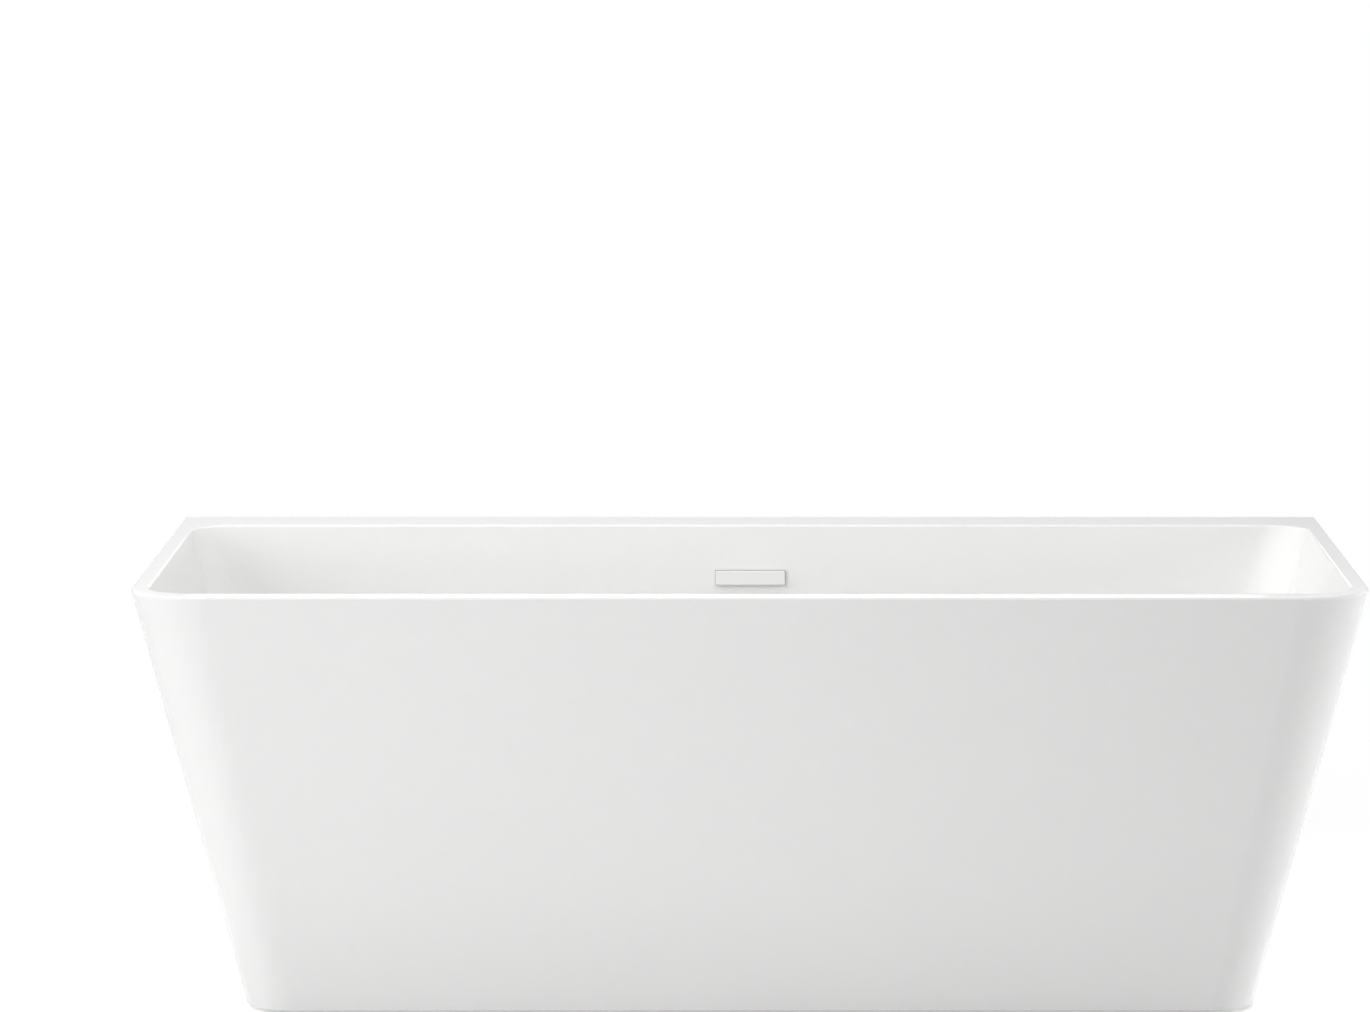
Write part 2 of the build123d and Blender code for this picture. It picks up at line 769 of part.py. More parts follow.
# Body that hangs under the well, with a side port for the overflow hose
port_z = rail_under - hose_rail_gap - hose_radius
body_under = port_z - spigot_radius - waste_floor_gap
waste_outlet_z = body_under - waste_spigot_length
tail_end = flange_under - waste_tail_length
port_end = waste_y + waste_body_radius + port_length
port_plane = Plane(origin=(0, port_end, port_z), x_dir=(1, 0, 0), z_dir=(0, -1, 0))
with BuildPart() as waste_body:
    with Locations((*drain, body_top)):
        Cylinder(waste_grip_radius, waste_grip_height, align=downward)
        Cylinder(waste_body_radius, body_top - body_under, align=downward)
        Cylinder(waste_spigot_radius, body_top - waste_outlet_z, align=downward)
    with BuildSketch(port_plane):
        Circle(spigot_radius)
    extrude(amount=waste_body_radius / 2 + port_length)
    with Locations((*drain, body_top)):
        Cylinder(tail_clearance, body_top - tail_end + waste_tail_fit, align=downward, mode=Mode.SUBTRACT)
        chamber_depth = body_top - body_under - waste_floor
        Cylinder(waste_chamber_radius, chamber_depth, align=downward, mode=Mode.SUBTRACT)
        Cylinder(waste_spigot_bore, body_top - waste_outlet_z, align=downward, mode=Mode.SUBTRACT)
    with BuildSketch(port_plane):
        Circle(hose_bore)
    extrude(amount=waste_body_radius + port_length, mode=Mode.SUBTRACT)
waste_body.part.label = "waste_body"
export_step(waste_body.part, "parts/waste_body.step")

# --------------------------------------------------------------------------------- slot overflow
wall_back = slot_plane.offset(-wall_normal)
gasket_back = wall_back.offset(-overflow_gasket_thickness)
hose_y = depth / 2 - hose_back_gap
spigot_top = slot_plane.origin.Z - (hose_y - slot_plane.origin.Y) * tan_of(back_lean)
spigot_end = spigot_top - overflow_spigot_length
insert_end = slot_plane.offset(-insert_length - m4_boss_gap)
cover_inside = cover_proud - cover_wall
slot_axis = Axis(slot_plane.origin, slot_plane.z_dir)
screw_ends = [(-insert_screw_pitch / 2, slot_shift), (insert_screw_pitch / 2, slot_shift)]
peg_ends = [(-cover_peg_pitch / 2, slot_shift), (cover_peg_pitch / 2, slot_shift)]

# Cover that stands proud of the wall, closed at the top and ends and open at the bottom
with BuildPart() as overflow_cover:
    with BuildSketch(slot_plane):
        Rectangle(*cover_size)
    extrude(amount=cover_proud)
    wall_face = overflow_cover.faces().sort_by(slot_axis)[0]
    fillet(overflow_cover.edges() - wall_face.edges(), cover_round)
    with BuildSketch(slot_plane):
        with Locations((0, -cover_wall / 2)):
            Rectangle(cover_size[0] - 2 * cover_wall, cover_size[1] - cover_wall)
    extrude(amount=cover_inside, mode=Mode.SUBTRACT)
    with BuildSketch(slot_plane.offset(insert_flange_thickness)):
        with Locations(peg_ends):
            Circle(cover_peg_radius)
    extrude(amount=cover_inside - insert_flange_thickness)
overflow_cover.part.label = "overflow_cover"
export_step(overflow_cover.part, "parts/overflow_cover.step")

# Insert through the slot, with the duct for the water and a screw hole at each end
with BuildPart() as overflow_insert:
    with BuildSketch(slot_plane):
        with Locations((0, slot_shift)):
            Rectangle(*insert_flange)
    extrude(amount=insert_flange_thickness)
    with BuildSketch(slot_plane):
        with Locations((0, slot_shift)):
            Rectangle(slot_size[0] - 2 * insert_fit, slot_size[1] - 2 * insert_fit)
    extrude(amount=-insert_length)
    with BuildSketch(slot_plane):
        with Locations((0, slot_shift)):
            Rectangle(*insert_duct)
        with Locations(screw_ends):
            Circle(m4_radius + m4_fit)
    extrude(amount=insert_length, both=True, mode=Mode.SUBTRACT)
overflow_insert.part.label = "overflow_insert"
export_step(overflow_insert.part, "parts/overflow_insert.step")

# Rubber gasket between the back of the wall and the overflow body
with BuildPart() as overflow_gasket:
    with BuildSketch(wall_back):
        with Locations((0, slot_shift)):
            Rectangle(*overflow_gasket_size)
            Rectangle(*slot_size, mode=Mode.SUBTRACT)
    extrude(amount=-overflow_gasket_thickness)
overflow_gasket.part.label = "overflow_gasket"
export_step(overflow_gasket.part, "parts/overflow_gasket.step")

# Overflow body behind the wall: flange, box and a spigot that points straight down
with BuildPart() as overflow_body:
    with BuildSketch(gasket_back):
        with Locations((0, slot_shift)):
            Rectangle(*overflow_gasket_size)
    extrude(amount=-overflow_flange_thickness)
    with BuildSketch(gasket_back):
        with Locations((0, slot_shift)):
            Rectangle(*overflow_box_size)
    extrude(amount=-overflow_box_depth)
    fillet(overflow_body.edges().group_by(slot_axis)[0], overflow_box_round)
    with Locations((0, hose_y, spigot_end)):
        Cylinder(spigot_radius, overflow_spigot_length, align=upward)
    with BuildSketch(gasket_back):
        with Locations((0, slot_shift)):
            Rectangle(*slot_size)
    extrude(amount=overflow_box_wall - overflow_box_depth, mode=Mode.SUBTRACT)
    with Locations((0, hose_y, spigot_end)):
        Cylinder(hose_bore, overflow_spigot_length, align=upward, mode=Mode.SUBTRACT)
    with BuildSketch(insert_end):
        with Locations(screw_ends):
            Rectangle(m4_boss_width, slot_size[1])
    extrude(amount=-m4_boss_length)
    with BuildSketch(insert_end):
        with Locations(screw_ends):
            Circle(m4_radius + m4_thread_fit)
    extrude(amount=-m4_boss_length, mode=Mode.SUBTRACT)
overflow_body.part.label = "overflow_body"
export_step(overflow_body.part, "parts/overflow_body.step")

# Machine screws that pull the insert and the body together on the wall
with BuildPart() as overflow_screws:
    with BuildSketch(slot_plane.offset(insert_flange_thickness)):
        with Locations(screw_ends):
            Circle(m4_head_radius)
    extrude(amount=m4_head_height)
    with BuildSketch(slot_plane.offset(insert_flange_thickness)):
        with Locations(screw_ends):
            Circle(m4_radius)
    extrude(amount=-(insert_flange_thickness + insert_length + m4_boss_gap + m4_bite))
overflow_screws.part.label = "overflow_screws"
export_step(overflow_screws.part, "parts/overflow_screws.step")


def union_nut(lip_plane, nut_length, outer, bore, lip, lip_bore):
    """Ribbed union nut; its plane stands on the lip's outer face and points along the bore."""
    with BuildPart() as nut:
        with BuildSketch(lip_plane):
            Circle(outer)
            with PolarLocations(outer + nut_groove / 2, nut_grooves):
                Circle(nut_groove, mode=Mode.SUBTRACT)
        extrude(amount=nut_length)
        with BuildSketch(lip_plane):
            Circle(lip_bore)
        extrude(amount=nut_length, mode=Mode.SUBTRACT)
        with BuildSketch(lip_plane.offset(lip)):
            Circle(bore)
        extrude(amount=nut_length - lip, mode=Mode.SUBTRACT)
    return nut.part


# Overflow hose, from the body's side port round to the spigot behind the wall
hose_start = port_end + hose_seal_thickness
hose_end = spigot_end - hose_seal_thickness
with BuildPart() as overflow_hose:
    with BuildLine() as route:
        FilletPolyline(
            (0, hose_start, port_z),
            (0, hose_y, port_z),
            (0, hose_y, hose_end),
            radius=hose_bend,
        )
    with BuildSketch(Plane(origin=route.line @ 0, z_dir=route.line % 0)):
        Circle(hose_radius)
        Circle(hose_bore, mode=Mode.SUBTRACT)
    sweep()
overflow_hose.part.label = "overflow_hose"
export_step(overflow_hose.part, "parts/overflow_hose.step")
hose_length = route.wire().length
hose_fill = overflow_hose.part.volume / (math.pi * (hose_radius**2 - hose_bore**2) * hose_length)
print(f"hose: {hose_length:.1f} mm long, bend radius {hose_bend:.0f} mm, volume ratio {hose_fill:.4f}")

# Seals and union nuts at the two ends of the hose
port_seal_plane = port_plane.offset(-hose_seal_thickness)
port_nut_plane = port_seal_plane.offset(-hose_nut_lip)
spigot_seal_plane = Plane.XY.offset(hose_end).shift_origin((0, hose_y, hose_end))
spigot_nut_plane = spigot_seal_plane.offset(-hose_nut_lip)
with BuildPart() as hose_seals:
    for plane in (port_seal_plane, spigot_seal_plane):
        with BuildSketch(plane):
            Circle(spigot_radius)
            Circle(hose_bore, mode=Mode.SUBTRACT)
        extrude(amount=hose_seal_thickness)
hose_seals.part.label = "hose_seals"
export_step(hose_seals.part, "parts/hose_seals.step")

hose_nut_bore = spigot_radius + hose_nut_fit
hose_lip_bore = hose_radius + hose_nut_fit
with BuildPart() as hose_nuts:
    for plane in (port_nut_plane, spigot_nut_plane):
        add(union_nut(plane, hose_nut_length, hose_nut_radius, hose_nut_bore, hose_nut_lip, hose_lip_bore))
hose_nuts.part.label = "hose_nuts"
export_step(hose_nuts.part, "parts/hose_nuts.step")

# ------------------------------------------------------------------------------- trap and outlet
trap_top = waste_outlet_z - trap_seal_thickness
trap_low = trap_floor_gap + trap_radius
outlet_z = rail_under - outlet_rail_gap - trap_radius
outlet_nut_end = rear_rail_y - tube / 2 - outlet_nut_rail_gap
pipe_start = outlet_nut_end - trap_nut_lip - trap_flange_thickness
trap_end = pipe_start - trap_seal_thickness
pipe_end = depth / 2 - outlet_wall_gap
outlet_spigot_start = waste_y + trap_outlet_bend
cleaning_y = waste_y - cleaning_boss_reach
cleaning_plane = Plane(origin=(trap_width / 2, cleaning_y, trap_low), x_dir=(1, 0, 0), z_dir=(0, 1, 0))
outlet_plane = Plane(origin=(trap_width, trap_end, outlet_z), x_dir=(1, 0, 0), z_dir=(0, -1, 0))
trap_nut_bore = waste_spigot_radius + trap_nut_fit
trap_lip_bore = trap_radius + trap_nut_fit


def trap_nut(plane):
    """Union nut of the trap's size."""
    sizes = (trap_nut_length, trap_nut_radius, trap_nut_bore, trap_nut_lip, trap_lip_bore)
    return union_nut(plane, *sizes)


# Shallow trap: down under the waste, along the floor and up to the outlet
with BuildPart() as trap_body:
    with BuildLine() as bend:
        FilletPolyline(
            (0, waste_y, trap_top),
            (0, waste_y, trap_low),
            (trap_width, waste_y, trap_low),
            (trap_width, waste_y, outlet_z),
            (trap_width, trap_end, outlet_z),
            radius=[trap_bend, trap_bend, trap_outlet_bend],
        )
    with BuildSketch(Plane(origin=bend.line @ 0, z_dir=bend.line % 0)):
        Circle(trap_radius)
    sweep(path=bend.line)
    with Locations((*drain, trap_top)):
        Cylinder(trap_flange_radius, trap_flange_thickness, align=downward)
    with BuildSketch(outlet_plane):
        Circle(waste_spigot_radius)
    extrude(amount=trap_end - outlet_spigot_start)
    with BuildSketch(cleaning_plane):
        Circle(cleaning_boss_radius)
    extrude(amount=cleaning_boss_reach)
    with BuildSketch(Plane(origin=bend.line @ 0, z_dir=bend.line % 0)):
        Circle(trap_bore)
    sweep(path=bend.line, mode=Mode.SUBTRACT)
    with BuildSketch(cleaning_plane):
        Circle(cleaning_boss_radius - cleaning_boss_wall)
    extrude(amount=cleaning_boss_reach, mode=Mode.SUBTRACT)
trap_body.part.label = "trap_body"
export_step(trap_body.part, "parts/trap_body.step")

# Screw cap over the cleaning opening
with BuildPart() as trap_cleaning_cap:
    with BuildSketch(cleaning_plane.offset(-cleaning_cap_face)):
        Circle(cleaning_cap_radius)
        with PolarLocations(cleaning_cap_radius + nut_groove / 2, nut_grooves):
            Circle(nut_groove, mode=Mode.SUBTRACT)
    extrude(amount=cleaning_cap_thickness)
    with BuildSketch(cleaning_plane):
        Circle(cleaning_boss_radius + trap_nut_fit)
    extrude(amount=cleaning_cap_thickness, mode=Mode.SUBTRACT)
trap_cleaning_cap.part.label = "trap_cleaning_cap"
export_step(trap_cleaning_cap.part, "parts/trap_cleaning_cap.step")

# Joint between the waste body and the trap
with BuildPart() as trap_inlet_seal:
    add(washer(trap_top, trap_flange_radius, waste_spigot_bore, trap_seal_thickness))
trap_inlet_seal.part.label = "trap_inlet_seal"
export_step(trap_inlet_seal.part, "parts/trap_inlet_seal.step")

inlet_nut_z = trap_top - trap_flange_thickness - trap_nut_lip
inlet_nut_plane = Plane(origin=(0, waste_y, inlet_nut_z))
with BuildPart() as trap_inlet_nut:
    add(trap_nut(inlet_nut_plane))
trap_inlet_nut.part.label = "trap_inlet_nut"
export_step(trap_inlet_nut.part, "parts/trap_inlet_nut.step")

# Joint between the trap and the outlet pipe
with BuildPart() as trap_outlet_seal:
    with BuildSketch(outlet_plane):
        Circle(trap_flange_radius)
        Circle(trap_bore, mode=Mode.SUBTRACT)
    extrude(amount=-trap_seal_thickness)
trap_outlet_seal.part.label = "trap_outlet_seal"
export_step(trap_outlet_seal.part, "parts/trap_outlet_seal.step")

outlet_nut_place = (trap_width, outlet_nut_end, outlet_z)
outlet_nut_plane = Plane(origin=outlet_nut_place, x_dir=(1, 0, 0), z_dir=(0, -1, 0))
with BuildPart() as trap_outlet_nut:
    add(trap_nut(outlet_nut_plane))
trap_outlet_nut.part.label = "trap_outlet_nut"
export_step(trap_outlet_nut.part, "parts/trap_outlet_nut.step")

# Outlet pipe towards the wall, with the collar that the nut holds and a groove that marks how far
# its free end goes into a fitting
mark_width, mark_depth = push_in_mark
pipe_plane = Plane(origin=(trap_width, pipe_start, outlet_z), x_dir=(1, 0, 0), z_dir=(0, 1, 0))
mark_plane = pipe_plane.offset(pipe_end - pipe_start - push_in_length)
with BuildPart() as outlet_pipe:
    with BuildSketch(pipe_plane):
        Circle(trap_radius)
    extrude(amount=pipe_end - pipe_start)
    with BuildSketch(pipe_plane):
        Circle(trap_flange_radius)
    extrude(amount=trap_flange_thickness)
    with BuildSketch(pipe_plane):
        Circle(trap_bore)
    extrude(amount=pipe_end - pipe_start, mode=Mode.SUBTRACT)
    with BuildSketch(mark_plane):
        Circle(trap_radius)
        Circle(trap_radius - mark_depth, mode=Mode.SUBTRACT)
    extrude(amount=-mark_width, mode=Mode.SUBTRACT)
outlet_pipe.part.label = "outlet_pipe"
export_step(outlet_pipe.part, "parts/outlet_pipe.step")
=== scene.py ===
import math

import bpy
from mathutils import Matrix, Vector


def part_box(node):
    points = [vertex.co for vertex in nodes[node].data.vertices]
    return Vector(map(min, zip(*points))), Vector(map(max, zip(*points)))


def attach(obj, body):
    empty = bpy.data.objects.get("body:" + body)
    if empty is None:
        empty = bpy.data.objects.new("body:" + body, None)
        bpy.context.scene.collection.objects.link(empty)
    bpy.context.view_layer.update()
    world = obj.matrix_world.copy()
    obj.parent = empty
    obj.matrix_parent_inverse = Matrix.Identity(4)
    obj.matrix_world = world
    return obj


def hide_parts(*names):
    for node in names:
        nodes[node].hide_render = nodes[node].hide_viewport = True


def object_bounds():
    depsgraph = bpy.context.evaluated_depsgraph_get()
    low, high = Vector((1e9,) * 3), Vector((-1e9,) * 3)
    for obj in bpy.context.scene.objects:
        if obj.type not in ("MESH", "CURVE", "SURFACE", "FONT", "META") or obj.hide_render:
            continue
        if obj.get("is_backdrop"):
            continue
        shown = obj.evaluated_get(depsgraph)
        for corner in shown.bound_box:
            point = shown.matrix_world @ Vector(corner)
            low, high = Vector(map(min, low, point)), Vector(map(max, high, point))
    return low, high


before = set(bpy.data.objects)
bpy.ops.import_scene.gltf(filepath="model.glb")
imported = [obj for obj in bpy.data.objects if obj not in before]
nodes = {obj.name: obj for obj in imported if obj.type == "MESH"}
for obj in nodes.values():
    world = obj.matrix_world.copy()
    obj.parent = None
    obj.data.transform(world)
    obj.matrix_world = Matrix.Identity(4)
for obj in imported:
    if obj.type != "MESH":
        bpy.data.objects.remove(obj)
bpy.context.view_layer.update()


# ---- Well and rim: one sheet of cast acrylic, heated and drawn by vacuum into a mould, then trimmed
# along the rim. It is polished on the bather's side, so it mirrors the room faintly.
def linear(hex_colour):
    """Linear red, green, blue and alpha of an sRGB hex colour."""
    shares = [int(hex_colour[i : i + 2], 16) / 255 for i in (1, 3, 5)]
    return [s / 12.92 if s <= 0.04045 else ((s + 0.055) / 1.055) ** 2.4 for s in shares] + [1.0]


def add_node(tree, kind, settings=None, links=None):
    """Adds a shader node, sets its properties and sockets, links it, and returns its outputs."""
    made = tree.nodes.new(kind)
    settings = settings or {}
    properties = [name for name in settings if name[0].islower()]
    for name in properties:
        setattr(made, name, settings[name])
    shown = [socket for socket in reversed(made.inputs) if socket.enabled]
    sockets = {socket.identifier: socket for socket in shown}
    sockets.update({socket.name: socket for socket in shown})
    for name, value in settings.items():
        if name not in properties:
            sockets[name].default_value = value
    for name, source in (links or {}).items():
        tree.links.new(source, sockets[name])
    return {socket.name: socket for socket in reversed(made.outputs) if socket.enabled}


def start_material(name):
    """An empty node material, its tree and the piece's own coordinates in metres."""
    material = bpy.data.materials.new(name)
    material.use_nodes = True
    tree = material.node_tree
    tree.nodes.clear()
    return material, tree, add_node(tree, "ShaderNodeTexCoord")["Object"]


def finish(material, *names):
    """Puts one finish all over the named CAD pieces."""
    for name in names:
        mesh = nodes[name].data
        mesh.materials.clear()
        mesh.materials.append(material)


def select_only(piece):
    """Makes one piece the only one selected, and the active one."""
    bpy.ops.object.select_all(action="DESELECT")
    piece.select_set(True)
    bpy.context.view_layer.objects.active = piece


# Cast acrylic: dead white and glossy. The drawn sheet waves by a few hundredths of a millimetre over
# about 60 mm, and polishing leaves it a little less sharp in patches of about 25 mm.
acrylic, tree, place = start_material("cast_acrylic")
wave = add_node(tree, "ShaderNodeTexNoise", {"Scale": 1 / 0.060, "Detail": 1.0}, {"Vector": place})
polish = add_node(tree, "ShaderNodeTexNoise", {"Scale": 1 / 0.025, "Detail": 2.0}, {"Vector": place})
gloss = add_node(
    tree, "ShaderNodeMapRange", {"To Min": 0.08, "To Max": 0.13}, {"Value": polish["Fac"]}
)
tone = add_node(
    tree,
    "ShaderNodeMix",
    {"data_type": "RGBA", "A": linear("#F2F2F2"), "B": linear("#F4F4F3")},
    {"Factor": polish["Fac"]},
)
relief = add_node(
    tree, "ShaderNodeBump", {"Strength": 0.2, "Distance": 0.0001}, {"Height": wave["Fac"]}
)
shader = add_node(
    tree,
    "ShaderNodeBsdfPrincipled",
    {"IOR": 1.49},
    {"Base Color": tone["Result"], "Roughness": gloss["Result"], "Normal": relief["Normal"]},
)
add_node(tree, "ShaderNodeOutputMaterial", {}, {"Surface": shader["BSDF"]})
finish(acrylic, "basin_shell")

# The drawn sheet runs from its walls into its corners without an edge, so the facets are joined and
# shaded as one skin, in which the flat walls stay flat
join_distance = 0.00001
sharp_angle = math.radians(30)
sheet = bpy.data.objects.new("drawn_sheet", nodes["basin_shell"].data.copy())
bpy.context.scene.collection.objects.link(sheet)
select_only(sheet)
bpy.ops.object.mode_set(mode="EDIT")
bpy.ops.mesh.customdata_custom_splitnormals_clear()
bpy.ops.mesh.select_all(action="SELECT")
bpy.ops.mesh.remove_doubles(threshold=join_distance)
bpy.ops.object.mode_set(mode="OBJECT")
bpy.ops.object.shade_smooth_by_angle(angle=sharp_angle)
even = sheet.modifiers.new("even", "WEIGHTED_NORMAL")
even.keep_sharp = True
bpy.ops.object.modifier_apply(modifier=even.name)
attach(sheet, "tub")
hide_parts("basin_shell")

# ---- Laminate: chopped glass strands in polyester resin, sprayed on the back of the well and rolled
# down by hand, which stiffens the thin sheet. It dries rough, glossy and slightly green.
laminate, tree, place = start_material("sprayed_glass_fibre")
# Strands are 40 mm long and 0.4 mm wide, drawn 2 mm wide so that they show. They fall in four
# directions, given here as turns in radians about X, Y and Z.
strand_length, strand_width = 0.040, 0.002
strand_turns = ((0.0, 0.5, 0.1), (0.1, 1.3, 0.0), (0.0, 2.2, 0.3), (0.2, 0.2, 1.4))
strands = None
for turn in strand_turns:
    laid = add_node(
        tree,
        "ShaderNodeMapping",
        {
            "vector_type": "TEXTURE",
            "Rotation": turn,
            "Scale": (strand_length, strand_width, strand_width),
        },
        {"Vector": place},
    )
    links = {"Vector": laid["Vector"]}
    layer = add_node(tree, "ShaderNodeTexNoise", {"Scale": 1.0}, links)["Fac"]
    if strands:
        links = {"Value": layer, "Value_001": strands}
        layer = add_node(tree, "ShaderNodeMath", {"operation": "MAXIMUM"}, links)["Value"]
    strands = layer
# Rolling leaves lumps of about 20 mm
lumps = add_node(tree, "ShaderNodeTexNoise", {"Scale": 1 / 0.020, "Detail": 3.0}, {"Vector": place})
shown = add_node(
    tree, "ShaderNodeMapRange", {"From Min": 0.5, "From Max": 0.75}, {"Value": strands}
)
tone = add_node(
    tree,
    "ShaderNodeMix",
    {"data_type": "RGBA", "A": linear("#B4B7A0"), "B": linear("#DCDDD0")},
    {"Factor": shown["Result"]},
)
surface = add_node(
    tree,
    "ShaderNodeMath",
    {"operation": "MULTIPLY_ADD", "Value_001": 0.3},
    {"Value": strands, "Value_002": lumps["Fac"]},
)
relief = add_node(
    tree, "ShaderNodeBump", {"Strength": 0.8, "Distance": 0.002}, {"Height": surface["Value"]}
)
shader = add_node(
    tree,
    "ShaderNodeBsdfPrincipled",
    {"Roughness": 0.38, "IOR": 1.55},
    {"Base Color": tone["Result"], "Normal": relief["Normal"]},
)
add_node(tree, "ShaderNodeOutputMaterial", {}, {"Surface": shader["BSDF"]})
finish(laminate, "basin_laminate")

# ---- Apron: a second acrylic forming that makes the front and both ends, bonded under the rim. Its
# rear edges turn in along the wall, and the middle of the rear stays open for the plumbing.
finish(acrylic, "outer_apron")

# ---- Base board: particle board laid into the wet glass fibre under the well floor, so that the
# frame can be screwed to it. It is raw wood chips in glue, cut with a square edge.
chipboard, tree, place = start_material("particle_board")
# Chips are 4 mm across, with dust of 0.8 mm between them
chips = add_node(tree, "ShaderNodeTexVoronoi", {"Scale": 1 / 0.004}, {"Vector": place})
dust = add_node(tree, "ShaderNodeTexNoise", {"Scale": 1 / 0.0008, "Detail": 2.0}, {"Vector": place})
tone = add_node(
    tree,
    "ShaderNodeMix",
    {"data_type": "RGBA", "A": linear("#A27A4C"), "B": linear("#D6BA8D")},
    {"Factor": chips["Color"]},
)
relief = add_node(
    tree, "ShaderNodeBump", {"Strength": 0.5, "Distance": 0.0003}, {"Height": dust["Fac"]}
)
shader = add_node(
    tree,
    "ShaderNodeBsdfPrincipled",
    {"Roughness": 0.82, "IOR": 1.5},
    {"Base Color": tone["Result"], "Normal": relief["Normal"]},
)
add_node(tree, "ShaderNodeOutputMaterial", {}, {"Surface": shader["BSDF"]})
finish(chipboard, "base_board")

# ---- Rim batten: planed spruce glued under the wide rear rim, where a bather sits to get in and
# where the frame's uprights push up.
spruce, tree, place = start_material("planed_spruce")
# Slow-grown wood has its rings 2 mm apart, and a wave of scale 1 repeats every 314 mm
rings = add_node(
    tree,
    "ShaderNodeTexWave",
    {
        "wave_type": "RINGS",
        "rings_direction": "X",
        "Scale": 0.314 / 0.002,
        "Distortion": 3.0,
        "Detail": 2.0,
        "Detail Scale": 0.2,
    },
    {"Vector": place},
)
tone = add_node(
    tree,
    "ShaderNodeMix",
    {"data_type": "RGBA", "A": linear("#C79D66"), "B": linear("#E4CB9F")},
    {"Factor": rings["Fac"]},
)
relief = add_node(
    tree, "ShaderNodeBump", {"Strength": 0.2, "Distance": 0.0002}, {"Height": rings["Fac"]}
)
shader = add_node(
    tree,
    "ShaderNodeBsdfPrincipled",
    {"Roughness": 0.6, "IOR": 1.5},
    {"Base Color": tone["Result"], "Normal": relief["Normal"]},
)
add_node(tree, "ShaderNodeOutputMaterial", {}, {"Surface": shader["BSDF"]})
finish(spruce, "rim_batten")

# ---- Frame: square steel tube, cut, welded and hot-dip galvanised. It carries the well floor and the
# rear rim, and stands on the five feet.
galvanised, tree, place = start_material("galvanised_steel")
# Zinc freezes in crystals of about 10 mm, each catching the light at its own angle
spangle = add_node(tree, "ShaderNodeTexVoronoi", {"Scale": 1 / 0.010}, {"Vector": place})
tone = add_node(
    tree,
    "ShaderNodeMix",
    {"data_type": "RGBA", "A": linear("#A3A8AA"), "B": linear("#C6CACB")},
    {"Factor": spangle["Color"]},
)
gloss = add_node(
    tree, "ShaderNodeMapRange", {"To Min": 0.34, "To Max": 0.5}, {"Value": spangle["Color"]}
)
shader = add_node(
    tree,
    "ShaderNodeBsdfPrincipled",
    {"Metallic": 1.0},
    {"Base Color": tone["Result"], "Roughness": gloss["Result"]},
)
add_node(tree, "ShaderNodeOutputMaterial", {}, {"Surface": shader["BSDF"]})
finish(
    galvanised,
    "frame_front_rail",
    "frame_rear_rail",
    "frame_cross_rail_left",
    "frame_cross_rail_right",
    "frame_uprights",
    "upright_plates",
)

# ---- Frame welds: short fillet seams where the rails, uprights and plates meet, laid by hand with a
# ripple every 2.5 mm and galvanised with the frame.
tube = 0.025
bead_radius = 0.0026
bead_sides = 10
ripple = 0.0025
ripple_waist = 0.78
ripples = round(tube / ripple)


def select_parts(piece, wanted):
    """In edit mode, selects the vertices whose place passes the test."""
    bpy.ops.mesh.select_mode(type="VERT")
    bpy.ops.mesh.select_all(action="DESELECT")
    bpy.ops.object.mode_set(mode="OBJECT")
    for vertex in piece.data.vertices:
        vertex.select = bool(wanted(vertex.co))
    bpy.ops.object.mode_set(mode="EDIT")


# One bead: its long edges are cut at each crest and hollow of the ripple, and the hollows drawn in
bpy.ops.object.select_all(action="DESELECT")
bpy.ops.mesh.primitive_cylinder_add(vertices=bead_sides, radius=bead_radius, depth=tube)
bead = bpy.context.object
bpy.ops.object.mode_set(mode="EDIT")
bpy.ops.mesh.select_mode(type="EDGE")
bpy.ops.mesh.select_all(action="DESELECT")
bpy.ops.object.mode_set(mode="OBJECT")
for edge in bead.data.edges:
    ends = [bead.data.vertices[i].co.z for i in edge.vertices]
    edge.select = abs(ends[0] - ends[1]) > tube / 2
bpy.ops.object.mode_set(mode="EDIT")
bpy.ops.mesh.subdivide(number_cuts=2 * ripples - 1)
select_parts(bead, lambda co: round((co.z / tube + 0.5) * 2 * ripples) % 2 == 0)
bpy.ops.transform.resize(value=(ripple_waist, ripple_waist, 1))
bpy.ops.object.mode_set(mode="OBJECT")
bpy.ops.object.shade_smooth()

front_rail, rear_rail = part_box("frame_front_rail"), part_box("frame_rear_rail")
left_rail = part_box("frame_cross_rail_left")
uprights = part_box("frame_uprights")
rail_low, rail_high = left_rail[0].z, left_rail[1].z
rail_mid = (rail_low + rail_high) / 2
upright_x = abs(left_rail[0].x + left_rail[1].x) / 2
upright_y = (uprights[0].y + uprights[1].y) / 2
upright_top = uprights[1].z
quarter = math.pi / 2
# Each seam is the spot of its middle and its turn: upright, along X or along Y
seams = []
for side in (-1, 1):
    inner = side * (upright_x - tube / 2)
    for low, high in (front_rail, rear_rail):
        seams += [((inner, low.y, rail_mid), (0, 0, 0)), ((inner, high.y, rail_mid), (0, 0, 0))]
        seams += [((inner, (low.y + high.y) / 2, rail_low), (quarter, 0, 0))]
    for level in (rail_high, upright_top):
        seams += [((side * upright_x, uprights[0].y, level), (0, quarter, 0))]
        for face in (upright_x - tube / 2, upright_x + tube / 2):
            seams += [((side * face, upright_y, level), (quarter, 0, 0))]
copies = []
for spot, turn in seams:
    copy = bead.copy()
    copy.data = bead.data.copy()
    bpy.context.scene.collection.objects.link(copy)
    copy.location, copy.rotation_euler = spot, turn
    copies.append(copy)
bpy.data.objects.remove(bead)
select_only(copies[0])
for copy in copies:
    copy.select_set(True)
bpy.ops.object.join()
bpy.ops.object.transform_apply(location=True, rotation=True, scale=True)
welds = bpy.context.object
welds.name = "frame_welds"
welds.data.materials.append(galvanised)
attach(welds, "tub")

